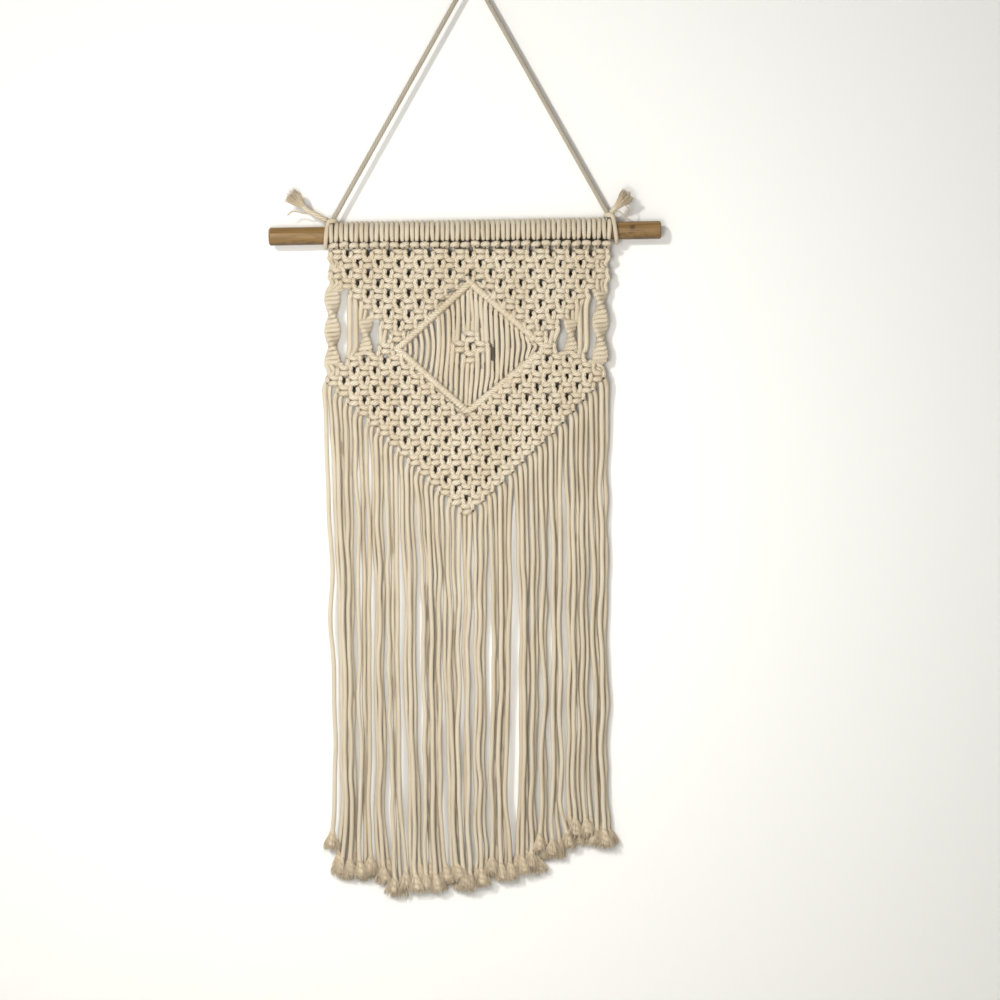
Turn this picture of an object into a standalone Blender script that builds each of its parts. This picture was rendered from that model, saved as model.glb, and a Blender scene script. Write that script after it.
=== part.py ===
"""Macrame wall hanging: a knotted cotton panel and fringe on a wooden dowel.

Metres, +Z up. The origin is the hanging point, under the bend of the hanger cord. The front of
the piece faces -Y. Lengths are written in millimetres and turned into metres by MM.
"""

import math

import bmesh
import bpy
from mathutils import Matrix, Vector
from mathutils.geometry import delaunay_2d_cdt, intersect_point_line

MM = 0.001
CLEAR = 0.3                 # gap that touching pieces keep

# Cord
CORD = 4.0                  # diameter of the cotton cord
HANGER_CORD = 3.6           # the same cord, stretched by the load

# Dowel, its middle given under the hanging point
DOWEL_LENGTH = 305.0
DOWEL_RADIUS = 7.0
DOWEL_MIDDLE_X = -5.0
DOWEL_DROP = 192.6          # axis below the hanging point
DOWEL_TILT = math.radians(1.0)
DOWEL_BEVEL = 1.2

# Hanger: two straight legs over a round bend
BEND_RADIUS = 8.0           # of the cord's centre line
LEG_FOOT_X = (-107.8, 106.6)
LEG_LEAN = math.radians(29)
BEND_STEPS = 10
LEG_STEPS = 20
HITCH_SPANS = {"hitch_left": (-114.0, -104.1), "hitch_right": (105.3, 114.6)}
WRAP_SIDES = 16

# Header: cord wraps round the dowel, with a row of bars in front
HEADER_LEFT, HEADER_RIGHT = -103.4, 104.6
WRAPS = 56
SLEEVE_BORE = DOWEL_RADIUS + CLEAR
WRAP_CREST = DOWEL_RADIUS + CORD
WRAP_VALLEY = WRAP_CREST - 1.3
BAR_DROP = (7.9, 10.1)      # centre of the bars below the dowel's axis, at the left and right end
BAR_FRONT = 10.4            # front of the bars before the dowel's axis
BAR_NOTCH = 1.8             # how far the front drops back between two bars
HEADER_TURNS = ((0, 50, 100), (200, 255, 310))      # degrees from the top, front over to back

# Panel: square knots in alternating rows. Columns count half knots from the left edge.
COLUMNS = 28
ROWS = 26
CENTRE_X = -0.7
HALF_KNOT = (7.97, 7.78)    # half a knot's width left and right of the middle
ROW_HEIGHTS = ((1, -209.0), (2, -215.9), (8, -263.3), (11, -292.0), (26, -407.2))
ROW_DRIFT = ((8, 0.0), (11, -2.7), (15, -2.7), (22, -3.3))          # sideways sag
RIGHT_LIFT = ((10, 0.5), (13, 3.7), (14, 3.1), (17, 0.0))           # right edge hangs higher
PANEL_TOP = ((-110.1, -206.3), (109.3, -203.6))                     # its ends, x and z
TOP_BAND = 1.0              # least height of panel over the first row's gaps
GAP_HALF_WIDTH = 1.8
GAP_HALF_HEIGHT = 3.0
EDGE_HALF = 1.9             # half thickness where cords lie side by side
KNOT_CREST = 4.6            # front face of a knot's two bars
KNOT_VALLEY = 3.2           # between its bars
KNOT_BACK = 4.0
KNOT_BAR_HALF = 4.4         # half length of a knot's bar
KNOT_BAR_RISE = 1.9         # bars above and below the knot's middle
KNOT_CORNER = (5.1, 2.9)    # lower corner of a knot that hangs free, from its middle

# First knot column beside each side window, by row
WINDOW_FIRST = {5: 3, 6: 4, 7: 5, 8: 6, 9: 7, 10: 6, 11: 3}

# Diamond: corners of the double half hitch bars, x and z
DIAMOND = {"top": (-1.2, -232.2), "left": (-57.2, -281.6),
           "right": (58.0, -281.2), "bottom": (-2.7, -330.6)}
BAR_HALF = 3.0
BAR_BAND = 5.1              # half height of a slanting bar, measured upright
BAR_CREST = 4.6
BAR_DIP = 0.5               # how far every other hitch lies back
BAR_HITCHES = 13
RIBS = 26                   # upright cords inside the diamond
RIB_INSET = 8.0             # first and last rib from the diamond's side corners
RIB_CREST = 2.9
RIB_VALLEY = 1.3
FLOWER = Vector((-1.1, -280.7))
FLOWER_REACH = (7.4, 9.0)   # from the flower's gap to its side knots and to its end knots
FLOWER_ZONE = (15.5, 14.5)  # half width and half height kept clear of ribs

# Outline of the panel's sides, from the top down: x and z
LEFT_SIDE = ((-110.1, -235.3), (-112.2, -239.5), (-112.2, -250.0), (-110.5, -254.5),
             (-115.2, -261.5), (-115.6, -271.0), (-114.0, -278.5), (-111.5, -283.5),
             (-112.5, -290.0), (-111.6, -300.0))
RIGHT_SIDE = ((107.6, -235.0), (107.6, -246.0), (105.4, -250.6), (107.9, -257.0),
              (107.9, -270.0), (105.8, -275.5), (107.8, -283.0), (108.4, -298.0))
# Gaps of the side windows: x and z, clockwise from the top
WINDOWS = (
    ((-98.6, -242.0), (-97.4, -243.0), (-97.4, -292.5), (-99.4, -289.5), (-104.4, -283.2),
     (-100.9, -276.0), (-100.7, -264.5), (-104.3, -255.6), (-99.6, -249.0)),
    ((-73.3, -262.0), (-72.0, -270.0), (-73.8, -283.4), (-77.2, -274.0)),
    ((91.9, -238.0), (95.6, -241.0), (95.8, -250.0), (93.2, -258.0), (93.0, -270.0),
     (94.6, -277.0), (91.6, -278.5), (91.5, -250.0)),
)
# Half-knot spirals beside the windows: middle x, top z, bottom z, half width, turns of cord
SPIRALS = (
    {"x": -107.2, "top": -239.0, "bottom": -252.5, "half": 4.6, "coils": 4},
    {"x": -108.2, "top": -260.0, "bottom": -280.0, "half": 5.2, "coils": 5},
    {"x": -106.2, "top": -289.0, "bottom": -301.0, "half": 4.4, "coils": 4},
    {"x": -82.2, "top": -262.0, "bottom": -282.0, "half": 3.8, "coils": 6},
    {"x": 100.6, "top": -239.0, "bottom": -248.5, "half": 3.8, "coils": 3},
    {"x": 100.4, "top": -256.0, "bottom": -271.5, "half": 4.8, "coils": 4},
    {"x": 101.2, "top": -280.5, "bottom": -296.0, "half": 4.6, "coils": 4},
)
SPIRAL_CREST = 5.0
SPIRAL_VALLEY = 3.9
# Upright cords beside the windows: x, top z, bottom z
STRANDS = ((-95.2, -244.0, -288.5), (-90.4, -244.0, -288.5), (-69.6, -264.0, -272.0),
           (84.2, -246.0, -288.0), (89.2, -243.5, -284.0))

# Fringe: 56 cords hung from a V-shaped strip under the panel
STRIP_LEFT, STRIP_TIP, STRIP_RIGHT = (-114.4, -309.2), (-4.0, -416.2), (108.6, -305.0)
STRIP_HEIGHT = 5.0
STRIP_HALF = 4.2
STRAND_WIDTH = 3.4
STRAND_INSET = 0.25         # rim kept round a strand's root
LAYER = 2.25                # distance of the front and back layers from the middle
SPREAD_Z, MIDDLE_Z, LOW_Z = -425.0, -525.0, -634.0
# Bunches that the cords hang in, from left to right. The spans are the outer edges of a bunch
# half way down and low down.
BUNCHES = (
    {"cords": 1, "middle": (-109.6, -106.2), "low": (-107.1, -103.7), "end": -672.5},
    {"cords": 5, "middle": (-103.1, -91.3), "low": (-101.5, -89.1), "end": -696.6},
    {"cords": 3, "middle": (-89.0, -77.4), "low": (-88.0, -78.2), "end": -696.6},
    {"cords": 3, "middle": (-75.4, -67.5), "low": (-75.4, -67.1), "end": -699.3},
    {"cords": 3, "middle": (-66.3, -55.9), "low": (-63.1, -54.1), "end": -709.8},
    {"cords": 3, "middle": (-52.7, -43.2), "low": (-49.6, -40.8), "end": -706.0},
    {"cords": 5, "middle": (-38.5, -23.0), "low": (-38.0, -23.0), "end": -706.0},
    {"cords": 4, "middle": (-22.2, -8.4), "low": (-18.3, -8.4), "end": -705.0},
    {"cords": 2, "middle": (-6.3, -1.2), "low": (-5.9, -1.2), "end": -704.4},
    {"cords": 3, "middle": (1.9, 10.9), "low": (1.4, 10.9), "end": -701.3},
    {"cords": 5, "middle": (15.9, 30.7), "low": (13.6, 27.9), "end": -697.4},
    {"cords": 3, "middle": (37.4, 45.2), "low": (36.6, 44.4), "end": -692.0},
    {"cords": 2, "middle": (46.3, 52.5), "low": (45.0, 50.0), "end": -692.0},
    {"cords": 2, "middle": (54.1, 59.0), "low": (53.3, 58.5), "end": -681.0},
    {"cords": 3, "middle": (62.4, 70.3), "low": (61.0, 71.2), "end": -679.5},
    {"cords": 5, "middle": (74.8, 91.4), "low": (73.1, 92.6), "end": -669.4},
    {"cords": 4, "middle": (93.4, 105.8), "low": (95.1, 106.2), "end": -671.0},
)

# Frayed tails of the hitches: x, depth, z and radius along each tail
TAILS = {
    "hitch_left": ((-112.0, -7.0, -186.0, 1.8), (-118.0, -6.5, -180.5, 1.8),
                   (-124.1, -5.5, -176.9, 1.8), (-129.8, -5.0, -173.6, 2.2),
                   (-134.0, -5.0, -171.4, 5.2), (-139.0, -5.0, -169.4, 6.2),
                   (-142.4, -5.0, -168.2, 4.2)),
    "hitch_right": ((110.0, -7.0, -182.4, 1.8), (110.4, -7.5, -178.6, 1.8),
                    (112.2, -7.5, -174.4, 2.4), (115.6, -7.0, -170.8, 5.2),
                    (119.6, -6.5, -167.6, 7.0), (122.6, -6.0, -165.6, 4.6)),
}
TAIL_SIDES = 8

COLOURS = {"wood": (0.45, 0.26, 0.10), "cotton": (0.74, 0.62, 0.44)}


# --- Helpers ------------------------------------------------------------------------------------

def between(table, at):
    """Read a table of (key, value) rows at any key, straight between rows."""
    if at <= table[0][0]:
        return table[0][1]
    for (key, value), (next_key, next_value) in zip(table, table[1:]):
        if at <= next_key:
            return value + (next_value - value) * (at - key) / (next_key - key)
    return table[-1][1]


def mix(start, end, part):
    """Point part of the way from start to end, for numbers or pairs."""
    if isinstance(start, (int, float)):
        return start + (end - start) * part
    return tuple(a + (b - a) * part for a, b in zip(start, end))


def material(name, roughness):
    """Principled material of one colour."""
    found = bpy.data.materials.get(name)
    if found:
        return found
    made = bpy.data.materials.new(name)
    made.use_nodes = True
    shader = made.node_tree.nodes["Principled BSDF"]
    shader.inputs["Base Color"].default_value = (*COLOURS[name], 1.0)
    shader.inputs["Roughness"].default_value = roughness
    shader.inputs["Metallic"].default_value = 0.0
    return made


def add_object(name, bm, look, roughness=0.9, smooth=True):
    """Turn a bmesh in millimetres into a named object in metres."""
    bmesh.ops.scale(bm, vec=(MM, MM, MM), verts=bm.verts)
    bmesh.ops.recalc_face_normals(bm, faces=bm.faces)
    mesh = bpy.data.meshes.new(name)
    bm.to_mesh(mesh)
    bm.free()
    if smooth:
        mesh.shade_smooth()
        mesh.set_sharp_from_angle(angle=math.radians(50))
    mesh.materials.append(material(look, roughness))
    made = bpy.data.objects.new(name, mesh)
    bpy.context.collection.objects.link(made)
    return made


def dowel_z(x):
    """Height of the dowel's axis at x."""
    return -DOWEL_DROP + x * math.tan(DOWEL_TILT)


def ring_vertices(bm, points):
    return [bm.verts.new(point) for point in points]


def join_rings(bm, ring, next_ring):
    """Side faces between two closed rings with equal numbers of points."""
    for near, far in zip(range(len(ring)), range(1, len(ring) + 1)):
        far %= len(ring)
        bm.faces.new((ring[near], ring[far], next_ring[far], next_ring[near]))


# --- Dowel and hanger ---------------------------------------------------------------------------

def build_dowel():
    bm = bmesh.new()
    bmesh.ops.create_cone(bm, cap_ends=True, segments=24, radius1=DOWEL_RADIUS,
                          radius2=DOWEL_RADIUS, depth=DOWEL_LENGTH)
    rims = [edge for edge in bm.edges if len(edge.link_faces) == 2
            and any(len(face.verts) > 4 for face in edge.link_faces)]
    bmesh.ops.bevel(bm, geom=rims, offset=DOWEL_BEVEL, segments=1, affect="EDGES")
    place = (Matrix.Translation((DOWEL_MIDDLE_X, 0, dowel_z(DOWEL_MIDDLE_X)))
             @ Matrix.Rotation(math.radians(90) - DOWEL_TILT, 4, "Y"))
    bmesh.ops.transform(bm, matrix=place, verts=bm.verts)
    add_object("dowel", bm, "wood", roughness=0.55)


def leg_foot(side):
    """Lower end of a hanger leg, just over its hitch."""
    x = LEG_FOOT_X[side]
    corner_drop = math.sin(LEG_LEAN) * HANGER_CORD / 2
    return Vector((x, dowel_z(x) + WRAP_CREST + CLEAR + corner_drop))


def hanger_path():
    """Centre line of the hanger: left leg, bend, right leg, as (x, z)."""
    centre = Vector((0, HANGER_CORD / 2 - BEND_RADIUS))
    touch_angles = []
    for side in (0, 1):
        offset = leg_foot(side) - centre
        swing = math.acos(BEND_RADIUS / offset.length)
        base = math.atan2(offset.y, offset.x)
        touch_angles.append(base - swing if side == 0 else base + swing)
    start, end = (angle % math.tau for angle in touch_angles)
    bend = []
    for step in range(BEND_STEPS + 1):
        angle = mix(start, end, step / BEND_STEPS)
        bend.append(centre + BEND_RADIUS * Vector((math.cos(angle), math.sin(angle))))
    left = [leg_foot(0).lerp(bend[0], step / LEG_STEPS) for step in range(LEG_STEPS)]
    right = [bend[-1].lerp(leg_foot(1), (step + 1) / LEG_STEPS) for step in range(LEG_STEPS)]
    return left + bend + right


def build_hanger():
    curve = bpy.data.curves.new("hanger_cord", "CURVE")
    curve.dimensions = "3D"
    curve.bevel_depth = HANGER_CORD / 2 * MM
    curve.bevel_resolution = 2
    curve.render_resolution_u = 0
    curve.use_fill_caps = True
    path = hanger_path()
    spline = curve.splines.new("POLY")
    spline.points.add(len(path) - 1)
    for point, (x, z) in zip(spline.points, path):
        point.co = (x * MM, 0, z * MM, 1)
    curve.materials.append(material("cotton", 0.9))
    bpy.context.collection.objects.link(bpy.data.objects.new("hanger_cord", curve))


def wrap_ring(radius, x):
    """Round section of a wrap at x."""
    turns = [math.tau * (side + 0.5) / WRAP_SIDES for side in range(WRAP_SIDES)]
    return [(x, radius * math.cos(turn), dowel_z(x) + radius * math.sin(turn)) for turn in turns]


def build_wraps(name):
    """Two wraps round the dowel, as a ring with two ridges."""
    bm = bmesh.new()
    left, right = HITCH_SPANS[name]
    radii = (WRAP_VALLEY, WRAP_CREST, WRAP_VALLEY, WRAP_CREST, WRAP_VALLEY)
    places = [mix(left, right, step / (len(radii) - 1)) for step in range(len(radii))]
    bore = SLEEVE_BORE / math.cos(math.pi / WRAP_SIDES)
    sections = [*zip(radii, places), (bore, right), (bore, left)]
    rings = [ring_vertices(bm, wrap_ring(radius, x)) for radius, x in sections]
    for ring, next_ring in zip(rings, rings[1:] + rings[:1]):
        join_rings(bm, ring, next_ring)
    return add_object(name, bm, "cotton")


def build_tail(name):
    """Frayed tail of a hitch: a tube that swells into a tuft."""
    bm = bmesh.new()
    rows = [(Vector(row[:3]), row[3]) for row in TAILS[name]]
    tail_rings = []
    for number, (point, radius) in enumerate(rows):
        before = rows[max(number - 1, 0)][0]
        after = rows[min(number + 1, len(rows) - 1)][0]
        turn = (after - before).to_track_quat("Z", "Y").to_matrix()
        angles = [math.tau * side / TAIL_SIDES for side in range(TAIL_SIDES)]
        tail_rings.append(ring_vertices(bm, [
            point + turn @ Vector((radius * math.cos(angle), radius * math.sin(angle), 0))
            for angle in angles]))
    for ring, next_ring in zip(tail_rings, tail_rings[1:]):
        join_rings(bm, ring, next_ring)
    bm.faces.new(tail_rings[0])
    bm.faces.new(tail_rings[-1])
    return add_object(name + "_tail", bm, "cotton")


def build_hitch(name):
    """Wraps and tail of a hitch, joined into one solid."""
    wraps = build_wraps(name)
    tail = build_tail(name)
    tail.hide_render = True
    tail.display_type = "WIRE"
    union = wraps.modifiers.new("tail", "BOOLEAN")
    union.operation = "UNION"
    union.solver = "EXACT"
    union.object = tail


# --- Header -------------------------------------------------------------------------------------

def header_section(x, radius, bar_front):
    """Outline round the dowel at x, with the bar low on its front."""
    part = (x - HEADER_LEFT) / (HEADER_RIGHT - HEADER_LEFT)
    bar = -mix(*BAR_DROP, part)
    low = min(-radius, bar - CORD / 2)
    front, back = [[(-radius * math.sin(math.radians(turn)), radius * math.cos(math.radians(turn)))
                    for turn in turns] for turns in HEADER_TURNS]
    bump = [(-bar_front, bar + CORD * 0.3), (0.6 - bar_front, bar - CORD * 0.35), (-CORD, low)]
    return [(x, y, dowel_z(x) + z) for y, z in front + bump + back]


def build_header():
    """Wraps round the dowel as ridges, with a bar across the front of each pair."""
    bm = bmesh.new()
    rings = []
    for station in range(2 * WRAPS + 1):
        x = mix(HEADER_LEFT, HEADER_RIGHT, station / (2 * WRAPS))
        radius = WRAP_CREST if station % 2 else WRAP_VALLEY
        bar_front = BAR_FRONT if station % 4 else BAR_FRONT - BAR_NOTCH
        rings.append(ring_vertices(bm, header_section(x, radius, bar_front)))
    for ring, next_ring in zip(rings, rings[1:]):
        join_rings(bm, ring, next_ring)
    sides = len(rings[0])
    bore = SLEEVE_BORE / math.cos(math.pi / sides)
    ends = []
    for x in (HEADER_LEFT, HEADER_RIGHT):
        turns = [math.tau * side / sides for side in range(sides)]
        ends.append(ring_vertices(bm, [
            (x, -bore * math.sin(turn), dowel_z(x) + bore * math.cos(turn)) for turn in turns]))
    join_rings(bm, rings[0], ends[0])
    join_rings(bm, ends[0], ends[1])
    join_rings(bm, ends[1], rings[-1])
    add_object("header", bm, "cotton")


# --- Panel --------------------------------------------------------------------------------------

def place(column, row):
    """Middle of the knot or gap at a column and row, as (x, z)."""
    offset = column - COLUMNS / 2
    x = CENTRE_X + offset * HALF_KNOT[offset > 0] + between(ROW_DRIFT, row)
    lift = between(RIGHT_LIFT, row) * column / COLUMNS if row > RIGHT_LIFT[0][0] else 0.0
    step = ROW_HEIGHTS[-1][1] - between(ROW_HEIGHTS, ROWS - 1)
    z = between(ROW_HEIGHTS, row) + step * max(row - ROWS, 0)
    return Vector((x, z + lift))


def has_knot(column, row):
    """True where the lattice holds a square knot."""
    side = min(column, COLUMNS - column)
    if (column + row) % 2 or side < 1 or not 1 <= row <= ROWS:
        return False
    over_or_under_diamond = side + row <= 16 or side - row <= -4
    return over_or_under_diamond and side >= row - 12 and side >= WINDOW_FIRST.get(row, 1)


def has_gap(column, row):
    """True where four knots, or three and the header, leave a gap between them."""
    around = [(column - 1, row), (column + 1, row), (column, row + 1)]
    if row > 1:
        around.append((column, row - 1))
    return (column + row) % 2 == 1 and all(has_knot(*other) for other in around)


def panel_top_z(x):
    (left, left_z), (right, right_z) = PANEL_TOP
    return mix(left_z, right_z, (x - left) / (right - left))


def diamond_shape(middle, top):
    """Upright diamond round a middle, up to the height top."""
    return [Vector((middle.x, top)), middle + Vector((GAP_HALF_WIDTH, 0)),
            middle - Vector((0, GAP_HALF_HEIGHT)), middle - Vector((GAP_HALF_WIDTH, 0))]


def gap_outlines():
    """Gaps of the side windows, the flower and the lattice."""
    gaps = [[Vector(point) for point in window] for window in WINDOWS]
    gaps.append(diamond_shape(FLOWER, FLOWER.y + GAP_HALF_HEIGHT))
    for row in range(1, ROWS + 1):
        for column in range(1, COLUMNS):
            if has_gap(column, row):
                middle = place(column, row)
                top = min(middle.y + GAP_HALF_HEIGHT, panel_top_z(middle.x) - TOP_BAND)
                gaps.append(diamond_shape(middle, top))
    return gaps


def edge_knot(column, row, side):
    """Outer edge of a knot on the V, from its side down: side is -1 left and 1 right."""
    middle = place(column, row)
    edge = [place(column + side, row) - Vector((side * GAP_HALF_WIDTH, 0)),
            middle + Vector((side * KNOT_CORNER[0], -KNOT_CORNER[1]))]
    if row < ROWS:
        edge.append(place(column, row + 1) + Vector((0, GAP_HALF_HEIGHT)))
    return edge


def panel_outline():
    """Outer edge: the straight top, the right side, the V of the last knots, the left side."""
    outline = [Vector(PANEL_TOP[0]), Vector(PANEL_TOP[1])]
    outline += [Vector(point) for point in RIGHT_SIDE]
    for row in range(13, ROWS + 1):
        outline += edge_knot(COLUMNS + 12 - row, row, 1)
    for row in range(ROWS, 12, -1):
        outline += reversed(edge_knot(row - 12, row, -1))
    outline += [Vector(point) for point in reversed(LEFT_SIDE)]
    return outline


def knot_lines(middle):
    """Front of a square knot: two bars with a valley between, as lines of (point, height)."""
    lines = []
    for rise, half, height in ((KNOT_BAR_RISE, KNOT_BAR_HALF, KNOT_CREST),
                               (0, KNOT_BAR_HALF + 0.4, KNOT_VALLEY),
                               (-KNOT_BAR_RISE, KNOT_BAR_HALF, KNOT_CREST)):
        lines.append([(middle + Vector((-half, rise)), height),
                      (middle + Vector((half, rise)), height)])
    return lines


def knot_middles():
    """Middles of all lattice knots and of the four knots of the flower."""
    middles = [place(column, row) for row in range(1, ROWS + 1)
               for column in range(1, COLUMNS) if has_knot(column, row)]
    across, along = FLOWER_REACH
    middles += [FLOWER + Vector(step)
                for step in ((-across, 0), (across, 0), (0, along), (0, -along))]
    return middles


def diamond_lines():
    """Crest of each hitched bar, with its soft edges, as lines of (point, height)."""
    names = ("top", "right", "bottom", "left")
    corners = [Vector(DIAMOND[name]) for name in names]
    lines = []
    for start, end in zip(corners, corners[1:] + corners[:1]):
        along = (end - start).normalized()
        across = Vector((-along.y, along.x)) * BAR_HALF
        crest = []
        for hitch in range(BAR_HITCHES + 1):
            height = BAR_CREST - (BAR_DIP if hitch % 2 else 0.0)
            crest.append((start.lerp(end, mix(0.04, 0.96, hitch / BAR_HITCHES)), height))
        lines.append(crest)
        for side in (-across, across):
            lines.append([(start.lerp(end, 0.08) + side, EDGE_HALF),
                          (start.lerp(end, 0.92) + side, EDGE_HALF)])
    return lines


def diamond_reach(x):
    """Height of the upper and lower bars' inner edges over x."""
    corners = {name: Vector(point) for name, point in DIAMOND.items()}
    side = corners["left"] if x < corners["top"].x else corners["right"]
    reach = []
    for end in ("top", "bottom"):
        part = (x - side.x) / (corners[end].x - side.x)
        middle = mix(side.y, corners[end].y, min(part, 1.0))
        reach.append(middle - BAR_BAND if end == "top" else middle + BAR_BAND)
    return reach


def rib_lines():
    """Crests and valleys of the upright cords inside the diamond."""
    left, right = DIAMOND["left"][0] + RIB_INSET, DIAMOND["right"][0] - RIB_INSET
    lines = []
    for step in range(2 * RIBS - 1):
        x = mix(left, right, step / (2 * RIBS - 2))
        height = RIB_VALLEY if step % 2 else RIB_CREST
        top, bottom = diamond_reach(x)
        runs = [(top, bottom)]
        if abs(x - FLOWER.x) < FLOWER_ZONE[0]:
            runs = [(top, FLOWER.y + FLOWER_ZONE[1]), (FLOWER.y - FLOWER_ZONE[1], bottom)]
        for high, low in runs:
            if high - low > 1.0:
                lines.append([(Vector((x, high)), height), (Vector((x, low)), height)])
    return lines


def spiral_lines():
    """Slanting cord turns across each swell of a half-knot spiral."""
    lines = []
    for spiral in SPIRALS:
        for step in range(2 * spiral["coils"] - 1):
            part = step / (2 * spiral["coils"] - 2)
            swell = math.sin(math.pi * mix(0.2, 0.8, part))
            half = spiral["half"] * swell
            z = mix(spiral["top"] - 1.5, spiral["bottom"] + 1.5, part)
            height = (SPIRAL_VALLEY if step % 2 else SPIRAL_CREST) * mix(0.75, 1.0, swell)
            lines.append([(Vector((spiral["x"] - half, z - 0.6)), height),
                          (Vector((spiral["x"] + half, z + 0.6)), height)])
    return lines


def strand_lines():
    return [[(Vector((x, top)), RIB_CREST), (Vector((x, bottom)), RIB_CREST)]
            for x, top, bottom in STRANDS]


def crossing_height(lines, point):
    """Height where two lines cross at a point: that of the higher one."""
    height = EDGE_HALF
    for line in lines:
        for (start, start_height), (end, end_height) in zip(line, line[1:]):
            nearest, part = intersect_point_line(point, start, end)
            if 0 <= part <= 1 and (nearest.to_2d() - point).length < 0.01:
                height = max(height, mix(start_height, end_height, part))
    return height


def panel_face(bm, loops, lines, side):
    """Triangles of one face of the panel. Returns the vertices of the loops, in order."""
    points, heights, edges, faces = [], [], [], []
    for loop in loops:
        first = len(points)
        points += loop
        heights += [EDGE_HALF] * len(loop)
        faces.append(list(range(first, len(points)))[::-1])
    for line in lines:
        first = len(points)
        points += [point for point, height in line]
        heights += [height for point, height in line]
        edges += [(number, number + 1) for number in range(first, len(points) - 1)]
    flat, _, triangles, sources, _, owners = delaunay_2d_cdt(points, edges, faces, 0, 1e-4)
    verts = []
    for point, source in zip(flat, sources):
        height = max((heights[number] for number in source), default=crossing_height(lines, point))
        verts.append(bm.verts.new((point.x, side * height, point.y)))
    for triangle, owner in zip(triangles, owners):
        if 0 in owner and len(owner) == 1:
            corners = [verts[number] for number in triangle]
            bm.faces.new(corners if side < 0 else corners[::-1])
    found = {number: vert for vert, source in zip(verts, sources) for number in source}
    rims = [[found[number] for number in face] for face in faces]
    bmesh.ops.delete(bm, geom=[vert for vert in verts if not vert.link_faces], context="VERTS")
    return rims


def build_panel():
    """Front and back faces over the same outline and gaps, joined along every rim."""
    loops = [panel_outline()] + gap_outlines()
    middles = knot_middles()
    shared = rib_lines() + spiral_lines() + strand_lines() + diamond_lines()
    front = shared + [line for middle in middles for line in knot_lines(middle)]
    back = shared + [[(middle, KNOT_BACK)] for middle in middles]
    bm = bmesh.new()
    front_rims = panel_face(bm, loops, front, -1)
    back_rims = panel_face(bm, loops, back, 1)
    for near, far in zip(front_rims, back_rims):
        join_rings(bm, near, far)
    add_object("panel", bm, "cotton", smooth=False)


# --- Fringe -------------------------------------------------------------------------------------

def strip_point(place_along):
    """Top of the strip at a share of its cord places, 0 left to 1 right: x, z and slope."""
    if place_along <= 0.5:
        start, end, part = STRIP_LEFT, STRIP_TIP, 2 * place_along
    else:
        start, end, part = STRIP_TIP, STRIP_RIGHT, 2 * place_along - 1
    return (*mix(start, end, part), (end[1] - start[1]) / (end[0] - start[0]))


def strand_columns():
    """For each cord: x half way down, x low down, and its lower end."""
    columns = []
    for bunch in BUNCHES:
        cords = bunch["cords"]
        for cord in range(cords):
            part = cord / (cords - 1) if cords > 1 else 0.5
            xs = [mix(bunch[level][0] + STRAND_WIDTH / 2, bunch[level][1] - STRAND_WIDTH / 2, part)
                  for level in ("middle", "low")]
            columns.append((*xs, bunch["end"]))
    return columns


def move_square(face, middle, slope):
    """Shape a four-sided face as a strand's section round a middle."""
    half = STRAND_WIDTH / 2
    old = face.calc_center_median()
    for vert in face.verts:
        across = half if vert.co.x > old.x else -half
        deep = half if vert.co.y > old.y else -half
        vert.co = middle + Vector((across, deep, slope * across))


def build_fringe():
    """V-shaped strip with a square cord drawn down from each place on its lower face."""
    bm = bmesh.new()
    columns = strand_columns()
    rings = []
    for number in range(len(columns) + 1):
        x, high, _ = strip_point(number / len(columns))
        low = high - STRIP_HEIGHT
        rings.append(ring_vertices(bm, [(x, -STRIP_HALF, low), (x, -STRIP_HALF, high),
                                        (x, STRIP_HALF, high), (x, STRIP_HALF, low)]))
    bm.faces.new(rings[0])
    bm.faces.new(rings[-1])
    roots = []
    for ring, next_ring in zip(rings, rings[1:]):
        join_rings(bm, ring, next_ring)
        roots.append(bm.faces.get((ring[3], ring[0], next_ring[0], next_ring[3])))
    bmesh.ops.recalc_face_normals(bm, faces=bm.faces)
    bmesh.ops.inset_individual(bm, faces=roots, thickness=STRAND_INSET)
    for number, (face, (middle_x, low_x, end)) in enumerate(zip(roots, columns)):
        root_x, root_z, slope = strip_point((number + 0.5) / len(columns))
        root_z -= STRIP_HEIGHT
        layer = LAYER if number % 2 else -LAYER
        move_square(face, Vector((root_x, layer, root_z)), slope)
        for x, z in ((root_x, SPREAD_Z), (middle_x, MIDDLE_Z), (low_x, LOW_Z), (low_x, end)):
            if z < root_z - STRAND_WIDTH:
                face = bmesh.ops.extrude_discrete_faces(bm, faces=[face])["faces"][0]
                move_square(face, Vector((x, layer, z)), 0.0)
    add_object("fringe", bm, "cotton", smooth=False)


# --- Build --------------------------------------------------------------------------------------

for old_object in list(bpy.data.objects):
    bpy.data.objects.remove(old_object)

build_dowel()
build_hanger()
for hitch_name in HITCH_SPANS:
    build_hitch(hitch_name)
build_header()
build_panel()
build_fringe()
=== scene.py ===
# %% [markdown]
# # Macrame wall hanging
# A wall hanging knotted from 56 ends of cotton cord on a wooden dowel. A macrame maker needs only
# four things: a lark's head to mount a cord, a square knot, a half knot repeated into a spiral, and
# a double half hitch that lays a ridge along a leader cord. This lesson lays every cord of the
# piece the way a maker's hands would, from the dowel down to the frayed ends.
#
# The solids of the piece are loaded first. They give the places, and the cords made here stand for
# them. Lengths are in millimetres until a mesh is finished, because that is how a maker measures.

# %% Load the solids
import math
import random

import bmesh
import bpy
import numpy as np
from mathutils import Matrix, Vector
from mathutils.bvhtree import BVHTree


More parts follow.
